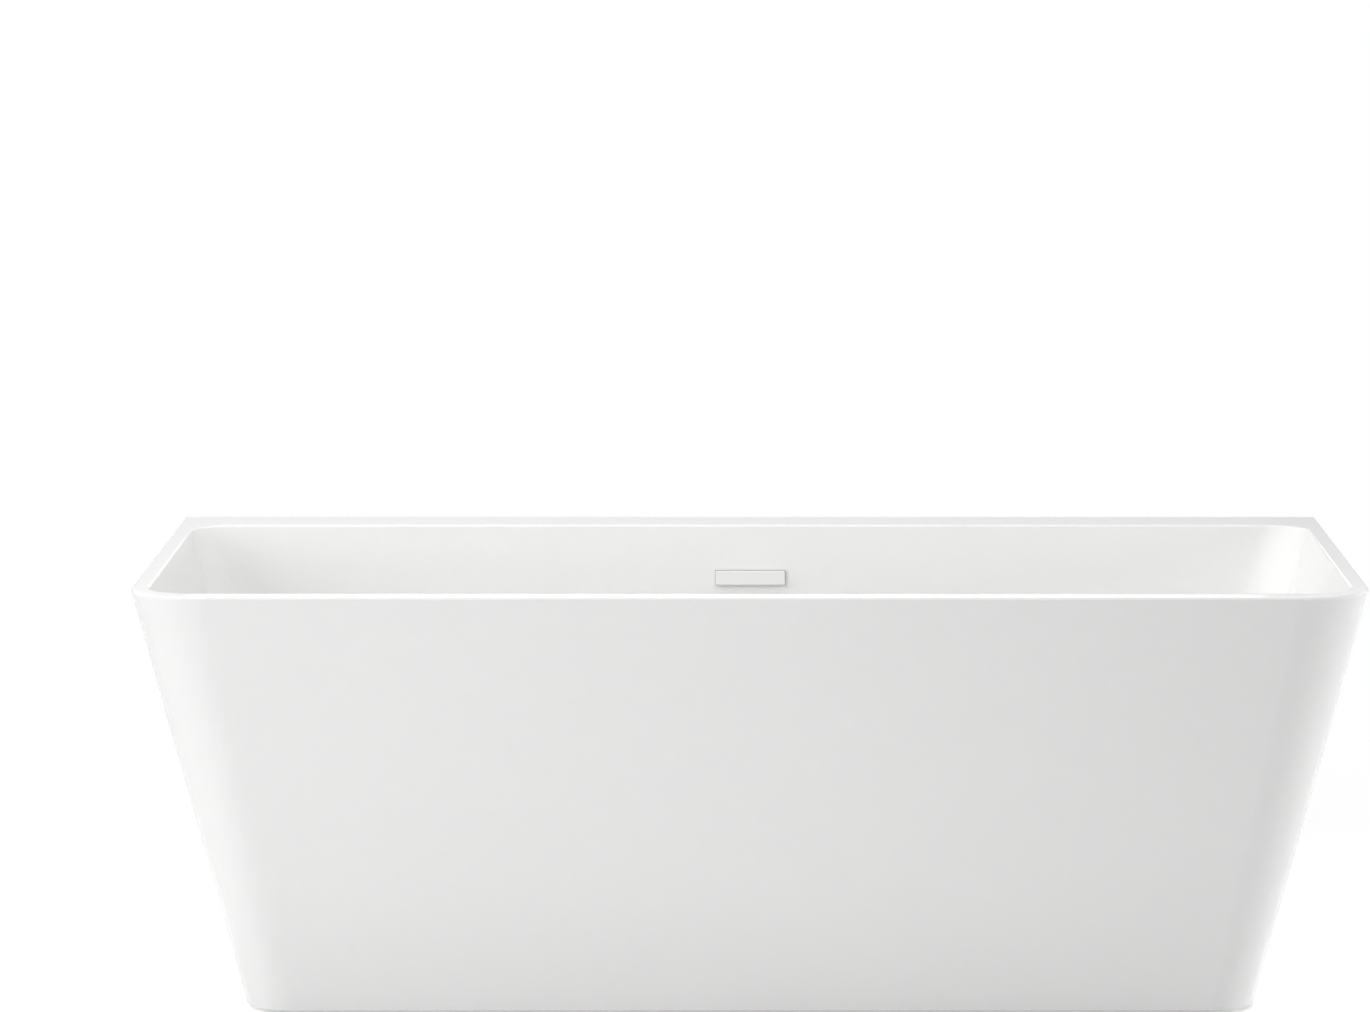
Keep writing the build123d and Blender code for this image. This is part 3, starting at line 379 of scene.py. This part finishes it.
# ---- Screws and nuts: turned steel with a zinc plate, bright grey with a faint blue. Slotted screws
# hold the board and the batten to the frame; one nut at each foot is welded on, one locks.
zinc, tree, place = start_material("zinc_plated_steel")
# Plating is patchy over about 4 mm
patches = add_node(tree, "ShaderNodeTexNoise", {"Scale": 1 / 0.004, "Detail": 2.0}, {"Vector": place})
tone = add_node(
    tree,
    "ShaderNodeMix",
    {"data_type": "RGBA", "A": linear("#B4B9BC"), "B": linear("#D0D3D4")},
    {"Factor": patches["Fac"]},
)
gloss = add_node(
    tree, "ShaderNodeMapRange", {"To Min": 0.22, "To Max": 0.4}, {"Value": patches["Fac"]}
)
shader = add_node(
    tree,
    "ShaderNodeBsdfPrincipled",
    {"Metallic": 1.0},
    {"Base Color": tone["Result"], "Roughness": gloss["Result"]},
)
add_node(tree, "ShaderNodeOutputMaterial", {}, {"Surface": shader["BSDF"]})
finish(
    zinc, "board_screws", "batten_screws", "foot_weld_nuts", "foot_lock_nuts", "overflow_screws"
)

# ---- Rail caps and foot pads: injection-moulded nylon, black, with the fine spark-eroded grain of
# the mould. The caps push into the open tubes; each pad stays still while its stud turns.
nylon, tree, place = start_material("moulded_nylon")
# The grain is 0.3 mm, drawn 1 mm so that it shows
grain = add_node(tree, "ShaderNodeTexNoise", {"Scale": 1 / 0.001, "Detail": 1.0}, {"Vector": place})
tone = add_node(
    tree,
    "ShaderNodeMix",
    {"data_type": "RGBA", "A": linear("#191A1B"), "B": linear("#242526")},
    {"Factor": grain["Fac"]},
)
relief = add_node(
    tree, "ShaderNodeBump", {"Strength": 0.3, "Distance": 0.0001}, {"Height": grain["Fac"]}
)
shader = add_node(
    tree,
    "ShaderNodeBsdfPrincipled",
    {"Roughness": 0.48, "IOR": 1.53},
    {"Base Color": tone["Result"], "Normal": relief["Normal"]},
)
add_node(tree, "ShaderNodeOutputMaterial", {}, {"Surface": shader["BSDF"]})
feet = ("front_left", "front_right", "front_centre", "rear_left", "rear_right")
finish(nylon, "rail_end_caps", *[f"foot_pad_{foot}" for foot in feet])

# ---- Foot studs: M12 bolts of zinc-plated steel with a rolled thread, a hexagon for the spanner and
# a plain pin that turns in the pad's socket. All five are alike, so one is modelled and copied.
thread_radius = 0.00595
thread_root = 0.0050
thread_pitch = 0.00175
thread_crest = 0.00028
thread_steps = 24
pin_radius = 0.0045
pin_sides = 32
hexagon_flats = 0.017
hexagon_low = 0.010
hexagon_high = 0.018
hexagon_edge = 0.0006
half_flat_angle = math.radians(30)
stud_low, stud_high = (corner.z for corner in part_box(f"foot_stud_{feet[0]}"))
thread_low = stud_low + hexagon_high

# Thread: one tooth's outline, from root to crest to root, screwed upwards and cut square at both ends
blank = 1.0
bpy.ops.object.select_all(action="DESELECT")
bpy.ops.mesh.primitive_plane_add(size=blank, rotation=(quarter, 0, 0))
stud = bpy.context.object
bpy.ops.object.transform_apply(location=True, rotation=True, scale=True)
bpy.ops.object.mode_set(mode="EDIT")
bpy.ops.mesh.delete(type="ONLY_FACE")
bpy.ops.mesh.select_mode(type="EDGE")
bpy.ops.mesh.select_all(action="DESELECT")
bpy.ops.object.mode_set(mode="OBJECT")
for edge in stud.data.edges:
    edge.select = all(stud.data.vertices[i].co.x < 0 for i in edge.vertices)
bpy.ops.object.mode_set(mode="EDIT")
bpy.ops.mesh.delete(type="EDGE_FACE")
for side, radius, width in ((1, thread_radius, thread_crest), (-1, thread_root, thread_pitch)):
    select_parts(stud, lambda co: co.x * side > thread_radius)
    bpy.ops.transform.resize(value=(1, 1, width / blank))
    bpy.ops.transform.translate(value=(radius - side * blank / 2, 0, 0))
bpy.ops.object.mode_set(mode="OBJECT")
screw = stud.modifiers.new("thread", "SCREW")
screw.axis = "Z"
screw.screw_offset = thread_pitch
screw.iterations = math.ceil((stud_high - thread_low) / thread_pitch) + 2
screw.steps = thread_steps
screw.render_steps = thread_steps
screw.use_merge_vertices = True
screw.merge_threshold = join_distance
bpy.ops.object.modifier_apply(modifier=screw.name)
bpy.ops.object.mode_set(mode="EDIT")
bpy.ops.mesh.select_all(action="SELECT")
bpy.ops.mesh.remove_doubles(threshold=join_distance)
bpy.ops.transform.translate(value=(0, 0, thread_low - 1.5 * thread_pitch))
for level, way in ((stud_high, 1), (thread_low - thread_pitch / 4, -1)):
    bpy.ops.mesh.select_all(action="SELECT")
    bpy.ops.mesh.bisect(
        plane_co=(0, 0, level), plane_no=(0, 0, way), use_fill=True, clear_outer=True
    )
bpy.ops.mesh.select_all(action="SELECT")
bpy.ops.mesh.normals_make_consistent(inside=False)

# Hexagon with eased corners
bpy.ops.mesh.select_all(action="DESELECT")
bpy.ops.mesh.primitive_cylinder_add(
    vertices=6,
    radius=hexagon_flats / 2 / math.cos(half_flat_angle),
    depth=hexagon_high - hexagon_low,
    location=(0, 0, stud_low + (hexagon_low + hexagon_high) / 2),
    rotation=(0, 0, half_flat_angle),
)
bpy.ops.mesh.bevel(offset=hexagon_edge, segments=1, affect="EDGES")

# Pin
bpy.ops.mesh.select_all(action="DESELECT")
bpy.ops.mesh.primitive_cylinder_add(
    vertices=pin_sides,
    radius=pin_radius,
    depth=hexagon_low,
    location=(0, 0, stud_low + hexagon_low / 2),
)
bpy.ops.object.mode_set(mode="OBJECT")
bpy.ops.object.shade_smooth_by_angle(angle=sharp_angle)
stud.data.materials.append(zinc)

for foot in feet:
    low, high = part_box(f"foot_stud_{foot}")
    copy = stud.copy()
    copy.data = stud.data.copy()
    bpy.context.scene.collection.objects.link(copy)
    copy.location = ((low.x + high.x) / 2, (low.y + high.y) / 2, 0)
    select_only(copy)
    bpy.ops.object.transform_apply(location=True, rotation=True, scale=True)
    copy.name = f"threaded_stud_{foot}"
    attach(copy, f"foot_stud_{foot}")
    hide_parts(f"foot_stud_{foot}")
bpy.data.objects.remove(stud)

# ---- Waste and plug: a cast brass flange and cap, both polished and chromed, which show on the well
# floor. The flange screws down through the floor; the cap lifts when it is pressed.
chrome, tree, place = start_material("polished_chrome")
# Wiping dulls it in patches of about 12 mm
wiped = add_node(tree, "ShaderNodeTexNoise", {"Scale": 1 / 0.012, "Detail": 2.0}, {"Vector": place})
tone = add_node(
    tree,
    "ShaderNodeMix",
    {"data_type": "RGBA", "A": linear("#DFE3E5"), "B": linear("#E9ECED")},
    {"Factor": wiped["Fac"]},
)
gloss = add_node(
    tree, "ShaderNodeMapRange", {"To Min": 0.03, "To Max": 0.09}, {"Value": wiped["Fac"]}
)
shader = add_node(
    tree,
    "ShaderNodeBsdfPrincipled",
    {"Metallic": 1.0},
    {"Base Color": tone["Result"], "Roughness": gloss["Result"]},
)
add_node(tree, "ShaderNodeOutputMaterial", {}, {"Surface": shader["BSDF"]})
finish(chrome, "waste_flange", "plug_cap")

# ---- Gaskets and seals: nitrile rubber, punched from sheet or moulded, black and dull. They keep the
# water in at the plug, the well floor, the overflow, the hose and the trap.
rubber, tree, place = start_material("nitrile_rubber")
# Bloom and talc mottle it over about 1.5 mm
bloom = add_node(tree, "ShaderNodeTexNoise", {"Scale": 1 / 0.0015, "Detail": 3.0}, {"Vector": place})
tone = add_node(
    tree,
    "ShaderNodeMix",
    {"data_type": "RGBA", "A": linear("#181819"), "B": linear("#2B2B2C")},
    {"Factor": bloom["Fac"]},
)
relief = add_node(
    tree, "ShaderNodeBump", {"Strength": 0.3, "Distance": 0.0001}, {"Height": bloom["Fac"]}
)
shader = add_node(
    tree,
    "ShaderNodeBsdfPrincipled",
    {"Roughness": 0.78, "IOR": 1.52},
    {"Base Color": tone["Result"], "Normal": relief["Normal"]},
)
add_node(tree, "ShaderNodeOutputMaterial", {}, {"Surface": shader["BSDF"]})
finish(
    rubber,
    "waste_upper_gasket",
    "waste_lower_gasket",
    "plug_seal",
    "overflow_gasket",
    "hose_seals",
    "trap_inlet_seal",
    "trap_outlet_seal",
)

# ---- Click action: a black nylon housing screwed into the flange's hub, with a stainless stem and
# spring that lift the plug when it is pressed.
finish(nylon, "click_housing")
stainless, tree, place = start_material("turned_stainless_steel")
# Turning leaves rings about 0.2 mm apart, drawn 0.8 mm apart so that they show
lathe = add_node(
    tree, "ShaderNodeMapping", {"Scale": (1 / 0.020, 1 / 0.020, 1 / 0.0008)}, {"Vector": place}
)
turned = add_node(tree, "ShaderNodeTexNoise", {"Scale": 1.0}, {"Vector": lathe["Vector"]})
tone = add_node(
    tree,
    "ShaderNodeMix",
    {"data_type": "RGBA", "A": linear("#B5B3AE"), "B": linear("#CFCDC9")},
    {"Factor": turned["Fac"]},
)
gloss = add_node(
    tree, "ShaderNodeMapRange", {"To Min": 0.18, "To Max": 0.32}, {"Value": turned["Fac"]}
)
shader = add_node(
    tree,
    "ShaderNodeBsdfPrincipled",
    {"Metallic": 1.0},
    {"Base Color": tone["Result"], "Roughness": gloss["Result"]},
)
add_node(tree, "ShaderNodeOutputMaterial", {}, {"Surface": shader["BSDF"]})
finish(stainless, "plug_stem", "click_spring")

# ---- Overflow cover: moulded ABS, white and glossy to match the acrylic. It clips over the slot with
# two pegs and is open below, where the water goes in.
cover_plastic, tree, place = start_material("moulded_abs")
# Moulding leaves faint flow marks of about 15 mm
flow = add_node(tree, "ShaderNodeTexNoise", {"Scale": 1 / 0.015, "Detail": 1.0}, {"Vector": place})
tone = add_node(
    tree,
    "ShaderNodeMix",
    {"data_type": "RGBA", "A": linear("#F1F1F0"), "B": linear("#F4F4F3")},
    {"Factor": flow["Fac"]},
)
gloss = add_node(
    tree, "ShaderNodeMapRange", {"To Min": 0.14, "To Max": 0.2}, {"Value": flow["Fac"]}
)
shader = add_node(
    tree,
    "ShaderNodeBsdfPrincipled",
    {"IOR": 1.52},
    {"Base Color": tone["Result"], "Roughness": gloss["Result"]},
)
add_node(tree, "ShaderNodeOutputMaterial", {}, {"Surface": shader["BSDF"]})
finish(cover_plastic, "overflow_cover")

# ---- Cover gap shade: a strip of black nitrile rubber between the cover and the wall along the top
# and both ends. It is painted shade for the shadowed gap there, and shows as a thin dark edge. It
# leans back with the wall.
back_lean = math.radians(6)
cover_height = 0.021
gap_shade_reach = 0.0004
gap_shade_width = 0.0024
gap_shade_thickness = 0.0012
low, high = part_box("overflow_cover")
bpy.ops.object.select_all(action="DESELECT")
bpy.ops.mesh.primitive_plane_add(size=1)
# The strip made here is painted shade: a dark sheet where the gap round the cover lies in shadow
seal = bpy.context.object
bpy.ops.object.mode_set(mode="EDIT")
bpy.ops.transform.resize(value=(high.x - low.x + 2 * gap_shade_reach, cover_height + 2 * gap_shade_reach, 1))
# A frame is cut from the sheet, its lower side is taken away, and it gets its thickness
bpy.ops.mesh.inset(thickness=gap_shade_width)
bpy.ops.mesh.delete(type="FACE")
select_parts(seal, lambda co: co.y < 0)
bpy.ops.mesh.delete(type="FACE")
bpy.ops.mesh.select_all(action="SELECT")
bpy.ops.mesh.extrude_region_move(TRANSFORM_OT_translate={"value": (0, 0, gap_shade_thickness)})
bpy.ops.mesh.select_all(action="SELECT")
bpy.ops.mesh.normals_make_consistent(inside=False)
# It is stood up, leant back and laid on the wall behind the cover
bpy.ops.transform.rotate(
    value=back_lean - quarter, orient_axis="X", center_override=(0, 0, 0)
)
middle = cover_height / 2
bpy.ops.transform.translate(
    value=(
        (low.x + high.x) / 2,
        high.y - middle * math.sin(back_lean),
        low.z + middle * math.cos(back_lean),
    )
)
bpy.ops.object.mode_set(mode="OBJECT")
seal.name = "cover_gap_shade"
# Black rubber gives the strip the dark of the painted shade in the gap
seal.data.materials.append(rubber)
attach(seal, "tub")

# ---- Pipework: injection-moulded polypropylene, white and satin. The waste body clamps under the
# floor, and the trap below it holds water against smells and leads to the wall.
pipework, tree, place = start_material("moulded_polypropylene")
# The mould's texture is 0.4 mm, drawn 1.2 mm so that it shows
texture = add_node(
    tree, "ShaderNodeTexNoise", {"Scale": 1 / 0.0012, "Detail": 1.0}, {"Vector": place}
)
tone = add_node(
    tree,
    "ShaderNodeMix",
    {"data_type": "RGBA", "A": linear("#E6E6E3"), "B": linear("#F0F0ED")},
    {"Factor": texture["Fac"]},
)
relief = add_node(
    tree, "ShaderNodeBump", {"Strength": 0.25, "Distance": 0.0001}, {"Height": texture["Fac"]}
)
shader = add_node(
    tree,
    "ShaderNodeBsdfPrincipled",
    {"Roughness": 0.42, "IOR": 1.49},
    {"Base Color": tone["Result"], "Normal": relief["Normal"]},
)
add_node(tree, "ShaderNodeOutputMaterial", {}, {"Surface": shader["BSDF"]})
finish(
    pipework,
    "waste_body",
    "overflow_insert",
    "overflow_body",
    "hose_nuts",
    "trap_body",
    "trap_cleaning_cap",
    "trap_inlet_nut",
    "trap_outlet_nut",
    "outlet_pipe",
)

# ---- Overflow hose: blown polyethylene, light grey, with a rib every 5 mm so that it bends without
# closing. It runs from the waste body's side port round and up to the overflow.
hose_radius = 0.014
hose_root = 0.0118
hose_wall = 0.0009
hose_sides = 32
rib_pitch = 0.005
rib_angle = math.radians(60)
hose_bend = 0.170
route_steps = 48
# The bend is two curves of 45 degrees, whose handles are this share of its radius long
arc_handle = 0.2652
hose_low, hose_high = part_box("overflow_hose")
port_z = hose_low.z + hose_radius
riser_y = hose_high.y - hose_radius
start_y, end_z = hose_low.y, hose_high.z
half_bend = math.radians(45)
corner = hose_bend * (1 - math.cos(half_bend))
start, end = Vector((0, start_y, port_z)), Vector((0, riser_y, end_z))
bend_start = Vector((0, riser_y - hose_bend, port_z))
bend_mid = bend_start + Vector((0, hose_bend - corner, corner))
bend_end = Vector((0, riser_y, port_z + hose_bend))
arm = hose_bend * arc_handle
arms = [Vector((0, math.cos(turn), math.sin(turn))) * arm for turn in (0, half_bend, quarter)]
lead_in, lead_out = (bend_start - start) / 3, (end - bend_end) / 3
# Each point of the route with its handles before and after
route = [
    (start, lead_in, lead_in),
    (bend_start, lead_in, arms[0]),
    (bend_mid, arms[1], arms[1]),
    (bend_end, arms[2], lead_out),
    (end, lead_out, lead_out),
]
bpy.ops.object.select_all(action="DESELECT")
bpy.ops.curve.primitive_bezier_curve_add()
path = bpy.context.object
spline = path.data.splines[0]
spline.bezier_points.add(len(route) - 2)
spline.resolution_u = route_steps
for point, (spot, before, after) in zip(spline.bezier_points, route):
    point.handle_left_type = point.handle_right_type = "FREE"
    point.co = spot
    point.handle_left, point.handle_right = spot - before, spot + after
straights = (bend_start.y - start_y) + (end_z - bend_end.z)
run = straights + hose_bend * quarter
ribs = round(run / rib_pitch)

# One rib: a ring drawn up in four steps through root, crest and root again
widenings = (1, hose_radius / hose_root, 1, hose_root / hose_radius)
step = run / ribs / len(widenings)
bpy.ops.object.select_all(action="DESELECT")
bpy.ops.mesh.primitive_circle_add(vertices=hose_sides, radius=hose_root)
hose = bpy.context.object
bpy.ops.object.mode_set(mode="EDIT")
bpy.ops.mesh.select_all(action="SELECT")
for widening in widenings:
    bpy.ops.mesh.extrude_region_move(TRANSFORM_OT_translate={"value": (0, 0, step)})
    bpy.ops.transform.resize(value=(widening, widening, 1))
bpy.ops.object.mode_set(mode="OBJECT")
repeat = hose.modifiers.new("ribs", "ARRAY")
repeat.count = ribs
repeat.use_relative_offset = False
repeat.use_constant_offset = True
repeat.constant_offset_displace = (0, 0, run / ribs)
repeat.use_merge_vertices = True
repeat.merge_threshold = join_distance
bpy.ops.object.modifier_apply(modifier=repeat.name)
follow = hose.modifiers.new("route", "CURVE")
follow.object = path
follow.deform_axis = "POS_Z"
bpy.ops.object.modifier_apply(modifier=follow.name)
bpy.ops.object.mode_set(mode="EDIT")
bpy.ops.mesh.select_all(action="SELECT")
bpy.ops.mesh.normals_make_consistent(inside=False)
bpy.ops.object.mode_set(mode="OBJECT")
thicken = hose.modifiers.new("wall", "SOLIDIFY")
thicken.thickness = hose_wall
thicken.offset = -1
bpy.ops.object.modifier_apply(modifier=thicken.name)
bpy.ops.object.shade_smooth_by_angle(angle=rib_angle)
bpy.data.objects.remove(path)
hose.name = "ribbed_hose"
blown, tree, place = start_material("blown_polyethylene")
# The blown skin is cloudy over about 8 mm
cloud = add_node(tree, "ShaderNodeTexNoise", {"Scale": 1 / 0.008, "Detail": 2.0}, {"Vector": place})
tone = add_node(
    tree,
    "ShaderNodeMix",
    {"data_type": "RGBA", "A": linear("#CDD0D1"), "B": linear("#DEE0E1")},
    {"Factor": cloud["Fac"]},
)
gloss = add_node(
    tree, "ShaderNodeMapRange", {"To Min": 0.3, "To Max": 0.42}, {"Value": cloud["Fac"]}
)
shader = add_node(
    tree,
    "ShaderNodeBsdfPrincipled",
    {"IOR": 1.5},
    {"Base Color": tone["Result"], "Roughness": gloss["Result"]},
)
add_node(tree, "ShaderNodeOutputMaterial", {}, {"Surface": shader["BSDF"]})
hose.data.materials.append(blown)
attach(hose, "tub")
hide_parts("overflow_hose")

# ---- Studio: the bath stands alone on a painted floor that runs out of view, in a white surround.
# Soft boxes stand round it and over it, and a long lens looks down on it from the front.
well_low, well_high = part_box("basin_shell")
# How far the camera stands in front of the rim, how high above it, and how far it looks down
view_distance = 7.123
view_rise = 1.095
view_down = math.radians(7.75)
camera_data = bpy.data.cameras.new("camera")
camera_data.lens = 139.7
camera_data.sensor_width = 36.0
camera_data.shift_x = -0.0476
camera = bpy.data.objects.new("camera", camera_data)
bpy.context.scene.collection.objects.link(camera)
camera.location = (0, well_low.y - view_distance, well_high.z + view_rise)
camera.rotation_euler = (quarter - view_down, 0, 0)
bpy.context.scene.camera = camera


def background_rays(tree):
    """One for rays from the camera, off gloss or through glass, and nought for all others."""
    rays = add_node(tree, "ShaderNodeLightPath")
    seen = rays["Is Camera Ray"]
    for kind in ("Is Glossy Ray", "Is Transmission Ray"):
        links = {"Value": seen, "Value_001": rays[kind]}
        seen = add_node(tree, "ShaderNodeMath", {"operation": "MAXIMUM"}, links)["Value"]
    return seen


# The floor is painted near the bath, where it takes the shadow, and turns to plain white between
# shadow_reach and white_reach
floor_size = 120.0
floor_lift = 0.42
shadow_reach = 1.2
white_reach = 2.1
bpy.ops.object.select_all(action="DESELECT")
bpy.ops.mesh.primitive_plane_add(size=floor_size)
floor = bpy.context.object
floor.name = "floor"
floor_paint, tree, place = start_material("pale_floor")
seen = background_rays(tree)
reach = add_node(tree, "ShaderNodeVectorMath", {"operation": "LENGTH"}, {"Vector": place})["Value"]
fade = {"interpolation_type": "SMOOTHSTEP", "From Min": shadow_reach, "From Max": white_reach}
far = add_node(tree, "ShaderNodeMapRange", fade, {"Value": reach})["Result"]
paint = add_node(tree, "ShaderNodeBsdfDiffuse", {"Color": linear("#F4F4F4")})["BSDF"]
lift = add_node(tree, "ShaderNodeEmission", {"Strength": floor_lift})["Emission"]
white = add_node(tree, "ShaderNodeEmission", {"Strength": 1.0})["Emission"]
near = add_node(tree, "ShaderNodeAddShader", {}, {"Shader": paint, "Shader_001": lift})["Shader"]
links = {"Fac": far, "Shader": near, "Shader_001": white}
shown = add_node(tree, "ShaderNodeMixShader", {}, links)["Shader"]
links = {"Fac": seen, "Shader": paint, "Shader_001": shown}
look = add_node(tree, "ShaderNodeMixShader", {}, links)["Shader"]
add_node(tree, "ShaderNodeOutputMaterial", {}, {"Surface": look})
floor.data.materials.append(floor_paint)
floor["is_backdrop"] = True

# The surround looks white, and fills the shadows with a twentieth of that
surround_fill = 0.05
world = bpy.data.worlds.new("white_surround")
bpy.context.scene.world = world
world.use_nodes = True
tree = world.node_tree
tree.nodes.clear()
levels = {"To Min": surround_fill, "To Max": 1.0}
strength = add_node(tree, "ShaderNodeMapRange", levels, {"Value": background_rays(tree)})
surround = add_node(
    tree,
    "ShaderNodeBackground",
    {"Color": linear("#FFFFFF")},
    {"Strength": strength["Result"]},
)
add_node(tree, "ShaderNodeOutputWorld", {}, {"Surface": surround["Background"]})

# A pale grey panel behind the bath, which only the gloss of the rims shows
panel_width = 6.0
panel_height = 1.1
panel_place = 3.0
bpy.ops.object.select_all(action="DESELECT")
bpy.ops.mesh.primitive_plane_add(size=1)
panel = bpy.context.object
panel.name = "grey_panel"
bpy.ops.object.mode_set(mode="EDIT")
bpy.ops.transform.resize(value=(panel_width, panel_height, 1))
bpy.ops.transform.rotate(value=-quarter, orient_axis="X", center_override=(0, 0, 0))
bpy.ops.transform.translate(value=(0, panel_place, panel_height / 2))
bpy.ops.object.mode_set(mode="OBJECT")
grey_card, tree, _ = start_material("grey_card")
shade = add_node(tree, "ShaderNodeEmission", {"Color": linear("#E1E1E1")})["Emission"]
add_node(tree, "ShaderNodeOutputMaterial", {}, {"Surface": shade})
panel.data.materials.append(grey_card)
panel.visible_camera = False
panel.visible_diffuse = False
panel.visible_shadow = False
panel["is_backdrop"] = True

# Soft boxes: name, place, the spot each is aimed at, width, height and watts
soft_boxes = (
    ("left_box", (-4.5, -2.5, 2.2), (0.0, 0.0, 0.4), 3.0, 3.0, 70),
    ("left_front_box", (-3.0, -5.0, 2.6), (0.0, 0.0, 0.4), 3.0, 3.0, 50),
    ("near_front_box", (-1.6, -3.4, 1.2), (-0.3, -0.4, 0.3), 1.0, 1.0, 14),
    ("left_low_box", (-4.5, 0.1, 0.7), (-0.6, 0.0, 0.3), 1.5, 1.2, 16),
    ("right_low_box", (4.5, 0.1, 0.7), (0.6, 0.0, 0.3), 1.5, 1.2, 90),
    ("over_left_box", (-1.8, 0.2, 2.4), (0.8, 0.0, 0.4), 0.5, 0.5, 12),
    ("over_middle_box", (-0.8, 0.3, 2.6), (0.3, 0.0, 0.3), 0.8, 0.6, 19),
    ("over_right_box", (1.5, -0.2, 2.6), (-0.8, 0.0, 0.4), 1.0, 1.0, 17),
    ("over_front_box", (0.0, -2.2, 2.4), (0.0, 0.3, 0.5), 3.0, 0.8, 18),
    ("rear_low_box", (0.0, 4.0, 0.8), (0.0, 0.0, 0.3), 4.0, 1.0, 40),
    ("rim_card", (-0.045, panel_place, 1.155), (-0.045, -0.4, 1.155), 2.15, 0.06, 0.6),
)
for name, spot, aim, width, height, watts in soft_boxes:
    lamp_data = bpy.data.lights.new(name, "AREA")
    lamp_data.shape = "RECTANGLE"
    lamp_data.size = width
    lamp_data.size_y = height
    lamp_data.energy = watts
    lamp = bpy.data.objects.new(name, lamp_data)
    bpy.context.scene.collection.objects.link(lamp)
    lamp.location = spot
    lamp.rotation_euler = (Vector(aim) - lamp.location).to_track_quat("-Z", "Y").to_euler()
    # Only the rim card shows in the gloss, as a white edge along the front rim. It lights nothing.
    lamp.visible_camera = False
    lamp.visible_glossy = name == "rim_card"
    lamp.visible_diffuse = name != "rim_card"

bpy.context.scene.view_settings.view_transform = "Standard"

low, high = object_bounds()
